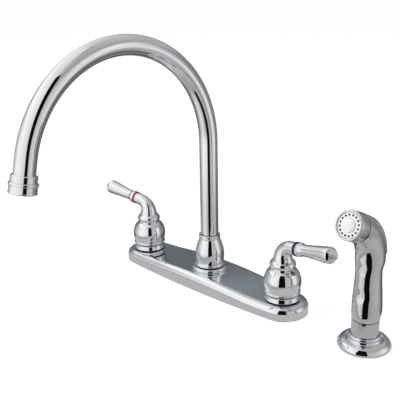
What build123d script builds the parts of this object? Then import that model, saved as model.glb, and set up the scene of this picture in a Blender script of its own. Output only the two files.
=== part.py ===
from build123d import *
import os
from math import asin, atan2, cos, radians, sin

# Two handle kitchen faucet with a gooseneck spout and a side spray, in millimetres.
# +X is the user's right, -Y is the front and +Z is up. The origin is on the deck, in the middle
# of the deck plate's underside and on the spout's axis.

# ---- layout -------------------------------------------------------------------------------
HANDLE_SPACING = 203.2        # between the two valve centres, 8 inches
SPRAY_X = 200.6               # the spray holder's hole, from the spout
SPRAY_Y = -4.4
SPRAY_SWING = -1.3            # degrees, as the spray hangs in its holder
SPOUT_SWING = -0.76           # degrees, as the spout stands
DECK_THICKNESS = 16.0         # the sink deck that the shanks are clamped on

# ---- fits ---------------------------------------------------------------------------------
RUNNING = 0.05                # radial clearance of a turning or sliding fit
THREAD = 0.05                 # radial clearance of a screwed or brazed joint
BODY_GAP = 0.3                # between faces of pieces that move past each other
LOOSE = 0.5                   # radial clearance of a hole that something only passes through

# ---- deck plate and gasket ----------------------------------------------------------------
PLATE_OVERHANG = 26.9         # from each valve's axis to the plate's end
PLATE_WIDTH = 59.8
PLATE_END_RADIUS = 25.8
PLATE_HEIGHT = 13.2           # at the handles and the ends
PLATE_MIDDLE_HEIGHT = 17.0    # at the spout
PLATE_CROWN_REACH = 60.0      # half the length of the raised middle's crown
PLATE_EDGE_RADIUS = 7.0
PLATE_WALL = 2.4
GASKET_THICKNESS = 1.5
GASKET_MARGIN = 0.3           # between the gasket's edge and the plate's wall

# ---- valve bodies, tubes and clamping parts -----------------------------------------------
SHANK_RADIUS = 10.475         # 1/2-14 pipe thread, over the crests
SHANK_LENGTH = 50.0           # below the deck's upper face
SHANK_BORE_RADIUS = 5.5
SUPPLY_THREAD_LENGTH = 20.0   # the shank's free end, for the supply line's nut
SHANK_RELIEF_WIDTH = 2.0      # groove between the supply thread and the locknut's thread
SHANK_RELIEF_DEPTH = 0.8
FOOT_RADIUS = 16.0
FOOT_THICKNESS = 2.0
VALVE_BODY_RADIUS = 11.5
VALVE_BODY_TOP = 33.0
OUTLET_PASSAGE_RADIUS = 1.4
OUTLET_PASSAGE_PITCH = 8.5    # from the valve's axis to the passage's
CROSSOVER_RADIUS = 3.175      # 1/4 inch tube
CROSSOVER_WALL = 0.9
CROSSOVER_Z = 7.1
CROSSOVER_SOCKET = 3.0        # depth of the brazed end
WASHER_RADIUS = 17.0
WASHER_THICKNESS = 2.0
LOCKNUT_ACROSS_FLATS = 32.0
LOCKNUT_HEIGHT = 8.0

# ---- cartridge ----------------------------------------------------------------------------
CARTRIDGE_RADIUS = 9.0
CARTRIDGE_WALL = 1.6
CARTRIDGE_BASE = 21.0
CARTRIDGE_TOP = 37.5
CARTRIDGE_SHOULDER_RADIUS = 10.6
CARTRIDGE_SHOULDER_HEIGHT = 1.5
DISC_THICKNESS = 2.5
DISC_PORT_RADIUS = 2.0
DISC_PORT_PITCH = 3.4
STEM_FOOT_THICKNESS = 2.4
STEM_RADIUS = 4.0
STEM_TOP = 55.0
BONNET_ACROSS_FLATS = 27.0
BONNET_BASE = 27.5
BONNET_TOP = 37.0

# ---- handle -------------------------------------------------------------------------------
BASE_RING_RADIUS = 18.2
BASE_RING_TOP_RADIUS = 17.1
BASE_RING_TOP = 20.3
BASE_RING_FOOT = 1.5
BELL_GAP = 0.7                # the shadow gap over the base ring
BELL_BEAD_RADIUS = 18.4
BELL_BEAD_HEIGHT = 2.4
BELL_SKIRT_RADIUS = 17.6
BELL_SKIRT_TOP = 26.0
BELL_RADIUS = 18.95
BELL_WIDEST_Z = 33.0
BELL_SHOULDER_RADIUS = 17.3
BELL_SHOULDER_Z = 40.2
BELL_BORE_RADIUS = 16.3
BELL_BORE_TOP = 38.4
BELL_COVE_RADIUS = 15.2       # where the shoulder's curve passes on its way to the groove
BELL_COVE_Z = 44.0
NECK_GROOVE_RADIUS = 11.6
NECK_GROOVE_Z = 46.6
NECK_BEAD_RADIUS = 13.2
NECK_BEAD_Z = 51.2
NECK_BEAD_TOP_RADIUS = 11.25  # where the bead's upper side turns into the neck's cove
NECK_BEAD_TOP = 54.6
NECK_RADIUS = 9.3
NECK_TOP = 58.9
ELBOW_BEND_RADIUS = 12.0
ELBOW_STEPS = 3               # sections that the elbow is lofted through, after the first
ELBOW_TAPER = 1.6             # above 1 it narrows soonest near the neck
LEVER_RISE = 9.0              # degrees above the deck
LEVER_YAW = 6.0               # degrees towards the front when the water is off
LEVER_RADIUS = 6.6
LEVER_STUB = 8.0
INDEX_RING_THICKNESS = 1.5
GRIP_STUD_RADIUS = 3.0
GRIP_STUD_LENGTH = 10.0
GRIP_LENGTH = 48.7
GRIP_START_RADIUS = 6.4
GRIP_BEAD_RADIUS = 7.3
GRIP_BEAD_AT = 2.9
GRIP_WAIST_RADIUS = 5.8
GRIP_WAIST_AT = 9.0
GRIP_BODY_RADIUS = 6.7        # halfway from the waist to the bulb
GRIP_BULB_RADIUS = 8.0
GRIP_BULB_AT = 40.2
GRIP_SHOULDER_RADIUS = 6.6    # where the nose turns from round to conical
GRIP_SHOULDER_AT = 43.6
GRIP_NOSE_RADIUS = 2.3
GRIP_NOSE_AT = 47.9
SET_SCREW_RADIUS = 2.2
SET_SCREW_Z = 45.2

# ---- spout --------------------------------------------------------------------------------
TUBE_RADIUS = 9.6
TUBE_WALL = 1.2
ARCH_RADIUS = 108.0
ARCH_Z = 158.9                # height of the arch's centre
ARCH_SWEEP = 167.9            # degrees
SPOUT_STRAIGHT = 13.5         # straight tube after the arch
POST_RADIUS = 12.0
POST_TOP = 35.5
POST_LEDGE = 12.5             # seat of the diverter
SPIGOT_RADIUS = 8.9
SPIGOT_BORE_RADIUS = 6.2
SPIGOT_BASE = 24.0
THRUST_WASHER_THICKNESS = 0.5
SPIGOT_FLANGE_RADIUS = 11.4
SPIGOT_FLANGE_THICKNESS = 2.0
SPIGOT_SLEEVE = 9.0           # how far the spigot reaches into the tube
O_RING_SECTION = 0.85         # radius of the ring's round section
O_RING_HEIGHTS = (27.0, 31.5)
DIVERTER_RADIUS = 6.0
DIVERTER_HEIGHT = 6.0
DIVERTER_BORE_RADIUS = 2.4
POST_RING_RADIUS = 19.8
POST_RING_WIDEST_Z = 18.8
POST_RING_FOOT_RADIUS = 18.6
POST_RING_TOP = 20.6
POST_RING_TOP_RADIUS = 17.6
SPOUT_NUT_BASE = 21.3
SPOUT_NUT_BEAD_RADIUS = 16.5
SPOUT_NUT_BEAD_HEIGHT = 2.9
SPOUT_NUT_SKIRT_RADIUS = 14.9
SPOUT_NUT_RADIUS = 15.7
SPOUT_NUT_WIDEST_Z = 33.8
SPOUT_NUT_NECK_RADIUS = 10.9
SPOUT_NUT_NECK_Z = 52.0
SPOUT_NUT_LIP_RADIUS = 11.6
SPOUT_NUT_LIP_BORE_RADIUS = 10.7
SPOUT_NUT_LIP_HEIGHT = 4.8
SPOUT_NUT_LIP_DEPTH = 3.4

# ---- spout outlet -------------------------------------------------------------------------
END_COLLAR_RADIUS = 11.6
END_COLLAR_LENGTH = 5.2
END_COLLAR_LAP = 1.0          # how far the collar laps the tube
AERATOR_RADIUS = 12.8
AERATOR_BAND = 2.2            # width of the raised band next to the collar
AERATOR_BAND_STEP = 0.6       # how far the housing steps in below it
AERATOR_END_RADIUS = 12.2
AERATOR_BEAD = 1.6            # width of the bead round the end
AERATOR_LENGTH = 9.8
AERATOR_THREAD_RADIUS = 10.6
AERATOR_THREAD_LENGTH = 4.0
AERATOR_BORE_RADIUS = 10.2
AERATOR_LIP = 1.2
AERATOR_LIP_RADIUS = 9.2
STRAINER_THICKNESS = 4.4
STRAINER_HOLE_RADIUS = 0.9
STRAINER_HOLES = (6, 12)      # in its inner and its outer circle
STRAINER_PITCHES = (3.2, 6.4)

# ---- spray outlet under the spout post ----------------------------------------------------
HOSE_NIPPLE_RADIUS = 6.6      # 1/4 inch pipe thread, over the crests
HOSE_NIPPLE_BORE_RADIUS = 3.5
HOSE_NIPPLE_LENGTH = 14.0
OUTLET_STEM_RADIUS = 8.5
OUTLET_STEM_LENGTH = 22.0     # below the gasket

# ---- spray holder -------------------------------------------------------------------------
HOLDER_RADIUS = 24.5
HOLDER_BASE_RADIUS = 21.9
HOLDER_WIDEST_Z = 3.2
HOLDER_DOME_RADIUS = 22.4     # halfway up the dome
HOLDER_DOME_Z = 7.0
HOLDER_CREST_RADIUS = 17.6
HOLDER_CREST_Z = 8.9
HOLDER_GROOVE_RADIUS = 15.9
HOLDER_GROOVE_Z = 8.2
HOLDER_LIP_RADIUS = 14.7
HOLDER_LIP_Z = 13.6
HOLDER_MOUTH_RADIUS = 12.9
HOLDER_SEAT_RADIUS = 11.6
HOLDER_SEAT_Z = 2.2
HOLDER_SHANK_RADIUS = 13.5
HOLDER_SHANK_LENGTH = 45.0
HOLDER_BORE_RADIUS = 9.0      # the spray hose's way
HOLDER_NUT_ACROSS_FLATS = 38.0
HOLDER_WASHER_RADIUS = 20.0

# ---- spray --------------------------------------------------------------------------------
COLLAR_RADIUS = 12.55
COLLAR_TAPER_Z = 13.8         # where the collar starts to narrow into the holder
COLLAR_TOP = 28.0
COLLAR_BORE_RADIUS = 9.6
SPRAY_SEAM = 0.4              # the shadow line between collar and body
SPRAY_FOOT_RADIUS = 12.5
SPRAY_SWELL_RADIUS = 13.2
SPRAY_SWELL_Z = 34.5
SPRAY_MIDDLE_RADIUS = 12.25
SPRAY_MIDDLE_Z = 53.5
SPRAY_WAIST_RADIUS = 11.5
SPRAY_WAIST_Z = 74.5
SPRAY_NECK_RADIUS = 13.2
SPRAY_NECK_Z = 86.5
SPRAY_NECK_STEPS = 4          # sections from the waist to the neck, after the first
SPRAY_NECK_BACK = 1.2         # how far the neck stands behind the grip's axis
SPRAY_BEND_Z = 87.0
SPRAY_BEND_RADIUS = 37.4
SPRAY_TURN = 68.0             # degrees from upright to the head
SPRAY_BORE_RADIUS = 3.5
SPRAY_FOOT_SPIGOT = 7.0
FINGER_GRIP_HEIGHTS = (44.0, 58.0, 72.0)
FINGER_GRIP_RADIUS = 15.0
FINGER_GRIP_DEPTH = 0.9
HOSE_FLANGE_RADIUS = 8.0
HOSE_FLANGE_THICKNESS = 2.5
HOSE_SCREW_RADIUS = 5.0

# ---- spray head ---------------------------------------------------------------------------
HEAD_RADIUS = 13.25
HEAD_LENGTH = 13.5
HEAD_RIM = 1.6                # rounding of the front rim
HEAD_SPIGOT_RADIUS = 10.8
HEAD_SPIGOT_LENGTH = 5.0
HEAD_THROAT_RADIUS = 9.8
SEAL_THICKNESS = 1.0
SEAL_BORE_RADIUS = 7.5
FACE_RADIUS = 10.95
FACE_THICKNESS = 2.4
FACE_RECESS = 0.5
FACE_HOLES = 16
FACE_HOLE_RADIUS = 0.75
FACE_HOLE_PITCH = 9.0
FACE_HOLE_START = 15.0        # degrees
BUTTON_RADIUS = 5.75
BUTTON_RISE = 0.9
BUTTON_CROWN = 1.1

# ---- spray trigger ------------------------------------------------------------------------
RECESS_WIDTH = 19.2
RECESS_FLOOR_RADIUS = 11.0
RECESS_TURN = 63.5            # degrees round the bend, where the recess ends
RECESS_START = 1.6            # and where it starts
TRIGGER_WIDTH = 18.2
TRIGGER_THICKNESS = 2.7
TRIGGER_STAND_OFF = 2.5       # over the recess floor, at its free end
TRIGGER_HINGE_STAND_OFF = 0.7 # over the recess floor, at the hinge
TRIGGER_TURN = 61.0           # degrees round the bend, where the trigger ends
TRIGGER_START = 4.2           # and where its free end is
HINGE_TURN = 56.0             # where the pin lies round the bend
HINGE_DEPTH = 7.6             # from the neck's centreline to the pin
HINGE_LUG_WIDTH = 7.0
HINGE_LUG_RADIUS = 1.9
HINGE_PIN_RADIUS = 1.0
HINGE_PIN_LENGTH = 12.0
PLUNGER_Z = 93.5
PLUNGER_RADIUS = 2.5
PLUNGER_HEAD_RADIUS = 3.2
PLUNGER_HEAD_THICKNESS = 1.5
PLUNGER_HEAD_GAP = 1.5        # from its head to the trigger's hollow
PLUNGER_POCKET_RADIUS = 4.0
PLUNGER_POCKET_DEPTH = 3.0
PLUNGER_REACH = 1.5           # how far it stands into the waterway

# ---- worked out from the sizes above ------------------------------------------------------
HANDLE_X = HANDLE_SPACING / 2
PLATE_LENGTH = HANDLE_SPACING + 2 * PLATE_OVERHANG
FOOT_TOP = GASKET_THICKNESS + FOOT_THICKNESS
BELL_BASE = BASE_RING_TOP + BELL_GAP
LOCKNUT_TOP = -DECK_THICKNESS - WASHER_THICKNESS
DISC_RADIUS = CARTRIDGE_RADIUS - CARTRIDGE_WALL - RUNNING
MOVING_DISC_BASE = CARTRIDGE_BASE + DISC_THICKNESS
STEM_FOOT_BASE = MOVING_DISC_BASE + DISC_THICKNESS
STEM_FOOT_TOP = STEM_FOOT_BASE + STEM_FOOT_THICKNESS
LEVER_TURN = 90 - LEVER_RISE
ELBOW_END = (
    ELBOW_BEND_RADIUS * (1 - cos(radians(LEVER_TURN))),
    0,
    NECK_TOP + ELBOW_BEND_RADIUS * sin(radians(LEVER_TURN)),
)
SPIGOT_FLANGE_BASE = POST_TOP + THRUST_WASHER_THICKNESS
SPIGOT_FLANGE_TOP = SPIGOT_FLANGE_BASE + SPIGOT_FLANGE_THICKNESS
TUBE_BORE_RADIUS = TUBE_RADIUS - TUBE_WALL
SPRAY_BODY_BASE = COLLAR_TOP + SPRAY_SEAM
SPRAY_NECK_Y = SPRAY_Y + SPRAY_NECK_BACK
BEND_CENTRE_Y = SPRAY_NECK_Y - SPRAY_BEND_RADIUS


# ---- shared shapes ------------------------------------------------------------------------
def outline(*points):
    """Closed face in the XZ plane: a line to each pair, and an arc to each pair of pairs, by its first."""
    def at(pair):
        return (pair[0], 0, pair[1])

    edges = []
    here = points[0]
    for point in points[1:] + (points[0],):
        if isinstance(point[0], tuple):
            edges.append(ThreePointArc(at(here), at(point[0]), at(point[1])))
            here = point[1]
        else:
            edges.append(Line(at(here), at(point)))
            here = point
    return Face(Wire(edges))


def turned(*points):
    """Solid of revolution about Z from (radius, height) points."""
    return revolve(outline(*points), axis=Axis.Z)


def rod(radius, low, high):
    """Upright cylinder between two heights."""
    return Pos(0, 0, low) * Cylinder(radius, high - low, align=(Align.CENTER, Align.CENTER, Align.MIN))


def tube(radius, bore, low, high):
    """Upright tube between two heights."""
    return rod(radius, low, high) - rod(bore, low, high)


def hexagon(across_flats, low, high):
    """Upright hexagonal bar between two heights."""
    section = RegularPolygon(across_flats / 2, 6, major_radius=False)
    return Pos(0, 0, low) * extrude(section, high - low)


def cross_rod(radius, start, end):
    """Cylinder along X between two X values, at the axis's own height."""
    return Pos(start, 0, 0) * Rot(0, 90, 0) * rod(radius, 0, end - start)


def group(pieces):
    """Several separate solids of one kind in one node."""
    return Compound(children=[Solid(piece.solid().wrapped) for piece in pieces])


def save(node, shape):
    export_step(shape, os.path.join("parts", node + ".step"))
    print(node, "solids", len(shape.solids()), "volume", round(shape.volume, 1))


# ---- deck plate and gasket ----------------------------------------------------------------
def plate_outline(inset):
    """The plate's outline, moved in by inset: two long arcs that run smoothly into two round ends."""
    half = PLATE_LENGTH / 2 - inset
    end = PLATE_END_RADIUS - inset
    middle = PLATE_WIDTH / 2 - inset
    reach = half - end
    back = (reach**2 - (middle - end) ** 2) / (2 * (middle - end))
    side_radius = middle + back
    lean = atan2(back, reach)
    tangent_x = side_radius * cos(lean)
    tangent_y = side_radius * sin(lean) - back
    wire = Wire([
        ThreePointArc((-tangent_x, -tangent_y), (0, -middle), (tangent_x, -tangent_y)),
        ThreePointArc((tangent_x, -tangent_y), (half, 0), (tangent_x, tangent_y)),
        ThreePointArc((tangent_x, tangent_y), (0, middle), (-tangent_x, tangent_y)),
        ThreePointArc((-tangent_x, tangent_y), (-half, 0), (-tangent_x, -tangent_y)),
    ])
    return Face(wire)


def plate_form(inset):
    """Solid plate with a raised middle and rounded top edges, its outer faces moved in by inset."""
    ends = PLATE_HEIGHT - inset
    middle = PLATE_MIDDLE_HEIGHT - inset
    half = PLATE_LENGTH / 2
    # the height where the crown runs into the hollow on each side of it
    joint = ends + (middle - ends) * (HANDLE_X - PLATE_CROWN_REACH) / HANDLE_X
    profile = Wire([
        Line((-half, 0, 0), (half, 0, 0)),
        Line((half, 0, 0), (half, 0, ends)),
        Line((half, 0, ends), (HANDLE_X, 0, ends)),
        TangentArc((HANDLE_X, 0, ends), (PLATE_CROWN_REACH, 0, joint), tangent=(-1, 0, 0)),
        ThreePointArc((PLATE_CROWN_REACH, 0, joint), (0, 0, middle), (-PLATE_CROWN_REACH, 0, joint)),
        TangentArc((-HANDLE_X, 0, ends), (-PLATE_CROWN_REACH, 0, joint), tangent=(1, 0, 0)),
        Line((-HANDLE_X, 0, ends), (-half, 0, ends)),
        Line((-half, 0, ends), (-half, 0, 0)),
    ])
    bar = extrude(Face(profile), PLATE_WIDTH / 2, both=True)
    form = extrude(plate_outline(inset), PLATE_MIDDLE_HEIGHT) & bar
    rim = []
    for edge in form.edges():
        place = edge.center()
        on_rim = abs(place.Y) > PLATE_END_RADIUS / 2 or abs(place.X) > HANDLE_X
        if on_rim and edge.bounding_box().min.Z > ends / 2:
            rim.append(edge)
    return fillet(rim, PLATE_EDGE_RADIUS - inset)


def deck_plate():
    shell = plate_form(0) - plate_form(PLATE_WALL)
    for x, radius in ((-HANDLE_X, VALVE_BODY_RADIUS), (0, POST_RADIUS), (HANDLE_X, VALVE_BODY_RADIUS)):
        shell -= Pos(x, 0, 0) * rod(radius + LOOSE, 0, PLATE_MIDDLE_HEIGHT)
    return shell


def deck_gasket():
    sheet = extrude(plate_outline(PLATE_WALL + GASKET_MARGIN), GASKET_THICKNESS)
    for x, radius in ((-HANDLE_X, SHANK_RADIUS), (0, OUTLET_STEM_RADIUS), (HANDLE_X, SHANK_RADIUS)):
        sheet -= Pos(x, 0, 0) * rod(radius + LOOSE, 0, GASKET_THICKNESS)
    return sheet


# ---- valve, at the origin, with the spout in the direction of +X ------------------------------
def valve_body():
    body = rod(SHANK_RADIUS, -SHANK_LENGTH, GASKET_THICKNESS)
    body += rod(FOOT_RADIUS, GASKET_THICKNESS, FOOT_TOP)
    body += rod(VALVE_BODY_RADIUS, FOOT_TOP, VALVE_BODY_TOP)
    relief = SUPPLY_THREAD_LENGTH - SHANK_LENGTH
    body -= tube(FOOT_RADIUS, SHANK_RADIUS - SHANK_RELIEF_DEPTH, relief, relief + SHANK_RELIEF_WIDTH)
    body -= rod(SHANK_BORE_RADIUS, -SHANK_LENGTH, CARTRIDGE_BASE)
    body -= rod(CARTRIDGE_RADIUS + THREAD, CARTRIDGE_BASE, VALVE_BODY_TOP)
    passage = rod(OUTLET_PASSAGE_RADIUS, CROSSOVER_Z, CARTRIDGE_BASE)
    body -= Pos(OUTLET_PASSAGE_PITCH, 0, 0) * passage
    socket_start = VALVE_BODY_RADIUS - CROSSOVER_SOCKET
    socket = cross_rod(CROSSOVER_RADIUS + THREAD, socket_start, FOOT_RADIUS)
    port = cross_rod(OUTLET_PASSAGE_RADIUS, OUTLET_PASSAGE_PITCH, socket_start)
    body -= Pos(0, 0, CROSSOVER_Z) * (socket + port)
    return body


def crossover_tube():
    """Tube from the spout post to the cold valve, along +X."""
    start = POST_RADIUS - CROSSOVER_SOCKET
    end = HANDLE_X - VALVE_BODY_RADIUS + CROSSOVER_SOCKET
    bore = CROSSOVER_RADIUS - CROSSOVER_WALL
    pipe = cross_rod(CROSSOVER_RADIUS, start, end) - cross_rod(bore, start, end)
    return Pos(0, 0, CROSSOVER_Z) * pipe


def cartridge():
    wall_radius = CARTRIDGE_RADIUS - CARTRIDGE_WALL
    shoulder_top = VALVE_BODY_TOP + CARTRIDGE_SHOULDER_HEIGHT
    housing = rod(CARTRIDGE_RADIUS, CARTRIDGE_BASE, CARTRIDGE_TOP)
    housing += rod(CARTRIDGE_SHOULDER_RADIUS, VALVE_BODY_TOP, shoulder_top)
    housing -= rod(wall_radius, CARTRIDGE_BASE, STEM_FOOT_TOP + BODY_GAP)
    housing -= rod(STEM_RADIUS + RUNNING, STEM_FOOT_TOP, CARTRIDGE_TOP)
    return housing


def ceramic_disc(low, radius):
    disc = rod(radius, low, low + DISC_THICKNESS)
    for angle in (0, 180):
        port = rod(DISC_PORT_RADIUS, low, low + DISC_THICKNESS)
        disc -= Rot(0, 0, angle) * Pos(DISC_PORT_PITCH, 0, 0) * port
    return disc


def bonnet_nut():
    shoulder_top = VALVE_BODY_TOP + CARTRIDGE_SHOULDER_HEIGHT
    nut = hexagon(BONNET_ACROSS_FLATS, BONNET_BASE, BONNET_TOP)
    nut -= rod(VALVE_BODY_RADIUS + THREAD, BONNET_BASE, shoulder_top)
    nut -= rod(CARTRIDGE_RADIUS + THREAD, shoulder_top, BONNET_TOP)
    return nut


def valve_stem():
    """Stem that the handle turns, with the flat foot that drives the moving disc."""
    return rod(DISC_RADIUS, STEM_FOOT_BASE, STEM_FOOT_TOP) + rod(STEM_RADIUS, STEM_FOOT_TOP, STEM_TOP)


def washer(radius, bore, high):
    return tube(radius, bore, high - WASHER_THICKNESS, high)


def locknut(across_flats, bore):
    nut = hexagon(across_flats, LOCKNUT_TOP - LOCKNUT_HEIGHT, LOCKNUT_TOP)
    return nut - rod(bore, LOCKNUT_TOP - LOCKNUT_HEIGHT, LOCKNUT_TOP)


# ---- handle, at the origin, with its lever along +X -----------------------------------------
def base_ring():
    """Ring under a handle, made down to the plate's flat ends and still to be cut to its top."""
    bore = VALVE_BODY_RADIUS + THREAD
    foot_top = PLATE_HEIGHT + BASE_RING_FOOT
    cove = (BASE_RING_RADIUS + BASE_RING_TOP_RADIUS) / 2 - BASE_RING_FOOT / 6
    return turned(
        (bore, PLATE_HEIGHT),
        (BASE_RING_RADIUS, PLATE_HEIGHT),
        (BASE_RING_RADIUS, PLATE_HEIGHT + BASE_RING_FOOT / 2),
        ((cove, foot_top), (BASE_RING_TOP_RADIUS, foot_top + BASE_RING_FOOT)),
        (BASE_RING_TOP_RADIUS, BASE_RING_TOP),
        (bore, BASE_RING_TOP),
    )


def bell_and_neck():
    """Outer shape of the handle's bell, neck bead and neck."""
    bead_top = BELL_BASE + BELL_BEAD_HEIGHT
    bead_rise = NECK_BEAD_TOP - NECK_BEAD_Z
    cove_rise = NECK_TOP - NECK_BEAD_TOP
    return turned(
        (0, BELL_BASE),
        (BELL_SKIRT_RADIUS, BELL_BASE),
        ((BELL_BEAD_RADIUS, (BELL_BASE + bead_top) / 2), (BELL_SKIRT_RADIUS, bead_top)),
        (BELL_SKIRT_RADIUS + 0.3, BELL_SKIRT_TOP),
        ((BELL_RADIUS, BELL_WIDEST_Z), (BELL_SHOULDER_RADIUS, BELL_SHOULDER_Z)),
        ((BELL_COVE_RADIUS, BELL_COVE_Z), (NECK_GROOVE_RADIUS, NECK_GROOVE_Z)),
        ((NECK_BEAD_RADIUS - 0.5, NECK_GROOVE_Z + 2.0), (NECK_BEAD_RADIUS, NECK_BEAD_Z)),
        ((NECK_BEAD_RADIUS - 0.6, NECK_BEAD_Z + 0.55 * bead_rise), (NECK_BEAD_TOP_RADIUS, NECK_BEAD_TOP)),
        ((NECK_RADIUS + 0.6, NECK_BEAD_TOP + 0.47 * cove_rise), (NECK_RADIUS, NECK_TOP)),
        (0, NECK_TOP),
    )


def elbow():
    """Bend from the neck to the lever, narrowing as it turns."""
    sections = []
    for step in range(ELBOW_STEPS + 1):
        share = step / ELBOW_STEPS
        turn = share * LEVER_TURN
        radius = NECK_RADIUS + (LEVER_RADIUS - NECK_RADIUS) * (1 - (1 - share) ** ELBOW_TAPER)
        x = ELBOW_BEND_RADIUS * (1 - cos(radians(turn)))
        z = NECK_TOP + ELBOW_BEND_RADIUS * sin(radians(turn))
        sections.append(Pos(x, 0, z) * Rot(0, turn, 0) * Circle(radius))
    return loft(sections)


def along_lever(shape, distance):
    """Moves a shape made along +Z to a distance along the lever's axis from the elbow."""
    return Pos(*ELBOW_END) * Rot(0, LEVER_TURN, 0) * Pos(0, 0, distance) * shape


def handle_casting():
    casting = bell_and_neck() + elbow() + along_lever(rod(LEVER_RADIUS, 0, LEVER_STUB), 0)
    casting -= rod(BELL_BORE_RADIUS, BELL_BASE, BELL_BORE_TOP)
    casting -= rod(STEM_RADIUS + THREAD, BELL_BORE_TOP, STEM_TOP)
    stud_bore = rod(GRIP_STUD_RADIUS + THREAD, LEVER_STUB - GRIP_STUD_LENGTH, LEVER_STUB)
    casting -= along_lever(stud_bore, 0)
    casting -= Pos(0, 0, SET_SCREW_Z) * cross_rod(SET_SCREW_RADIUS + THREAD, 0, BELL_RADIUS)
    return casting


def set_screw():
    return Pos(0, 0, SET_SCREW_Z) * cross_rod(SET_SCREW_RADIUS, STEM_RADIUS, NECK_GROOVE_RADIUS)


def index_ring():
    ring = tube(LEVER_RADIUS, GRIP_STUD_RADIUS + THREAD, 0, INDEX_RING_THICKNESS)
    return along_lever(ring, LEVER_STUB)


def cap_middle(radius, low, rise):
    """Middle point of a round cap's profile, from (radius, low) up to the axis."""
    sphere = (radius**2 + rise**2) / (2 * rise)
    half = asin(radius / sphere) / 2
    return (sphere * sin(half), low + rise - sphere * (1 - cos(half)))


def lever_grip():
    stud_end = BODY_GAP - GRIP_STUD_LENGTH - INDEX_RING_THICKNESS
    bead_end = 2 * GRIP_BEAD_AT
    grip = turned(
        (0, stud_end),
        (GRIP_STUD_RADIUS, stud_end),
        (GRIP_STUD_RADIUS, 0),
        (GRIP_START_RADIUS, 0),
        ((GRIP_BEAD_RADIUS - 0.2, GRIP_BEAD_AT / 2), (GRIP_BEAD_RADIUS, GRIP_BEAD_AT)),
        ((GRIP_BEAD_RADIUS - 0.4, 0.8 * bead_end), (GRIP_START_RADIUS - 0.2, bead_end)),
        (GRIP_WAIST_RADIUS, GRIP_WAIST_AT),
        ((GRIP_BODY_RADIUS, (GRIP_WAIST_AT + GRIP_BULB_AT) / 2), (GRIP_BULB_RADIUS, GRIP_BULB_AT)),
        ((GRIP_BULB_RADIUS - 0.3, GRIP_BULB_AT + 1.8), (GRIP_SHOULDER_RADIUS, GRIP_SHOULDER_AT)),
        (GRIP_NOSE_RADIUS, GRIP_NOSE_AT),
        (cap_middle(GRIP_NOSE_RADIUS, GRIP_NOSE_AT, GRIP_LENGTH - GRIP_NOSE_AT), (0, GRIP_LENGTH)),
    )
    return along_lever(grip, LEVER_STUB + INDEX_RING_THICKNESS)


# ---- spout ----------------------------------------------------------------------------------
def spout_post():
    stem_base = GASKET_THICKNESS - OUTLET_STEM_LENGTH
    post = rod(OUTLET_STEM_RADIUS, stem_base, GASKET_THICKNESS)
    post += rod(FOOT_RADIUS, GASKET_THICKNESS, FOOT_TOP)
    post += rod(POST_RADIUS, FOOT_TOP, POST_TOP)
    post -= rod(SPIGOT_RADIUS + RUNNING, SPIGOT_BASE - BODY_GAP, POST_TOP)
    post -= rod(DIVERTER_RADIUS + RUNNING, POST_LEDGE, SPIGOT_BASE)
    post -= rod(HOSE_NIPPLE_BORE_RADIUS, stem_base, POST_LEDGE)
    thread_top = stem_base + OUTLET_STEM_LENGTH / 2
    post -= rod(HOSE_SCREW_RADIUS + THREAD, stem_base, thread_top)
    socket_start = POST_RADIUS - CROSSOVER_SOCKET
    bore = CROSSOVER_RADIUS - CROSSOVER_WALL
    for angle in (0, 180):
        socket = cross_rod(CROSSOVER_RADIUS + THREAD, socket_start, FOOT_RADIUS)
        port = cross_rod(bore, 0, socket_start)
        post -= Pos(0, 0, CROSSOVER_Z) * Rot(0, 0, angle) * (socket + port)
    return post


def spray_outlet():
    """Threaded nipple under the spout post, for the spray hose."""
    stem_base = GASKET_THICKNESS - OUTLET_STEM_LENGTH
    flange_base = stem_base - HOSE_FLANGE_THICKNESS
    nipple = rod(HOSE_SCREW_RADIUS, stem_base, stem_base + OUTLET_STEM_LENGTH / 2)
    nipple += hexagon(2 * HOSE_FLANGE_RADIUS, flange_base, stem_base)
    nipple += rod(HOSE_NIPPLE_RADIUS, flange_base - HOSE_NIPPLE_LENGTH, flange_base)
    return nipple - rod(HOSE_NIPPLE_BORE_RADIUS, flange_base - HOSE_NIPPLE_LENGTH, GASKET_THICKNESS)


def post_ring():
    """Rounded ring under the spout's nut, still to be cut to the plate's top."""
    bore = POST_RADIUS + THREAD
    return turned(
        (bore, PLATE_HEIGHT),
        (POST_RING_FOOT_RADIUS, PLATE_HEIGHT),
        (POST_RING_FOOT_RADIUS, PLATE_MIDDLE_HEIGHT),
        ((POST_RING_RADIUS - 0.3, POST_RING_WIDEST_Z - 1.0), (POST_RING_RADIUS, POST_RING_WIDEST_Z)),
        ((POST_RING_RADIUS - 0.5, POST_RING_TOP - 0.6), (POST_RING_TOP_RADIUS, POST_RING_TOP)),
        (bore, POST_RING_TOP),
    )


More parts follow.
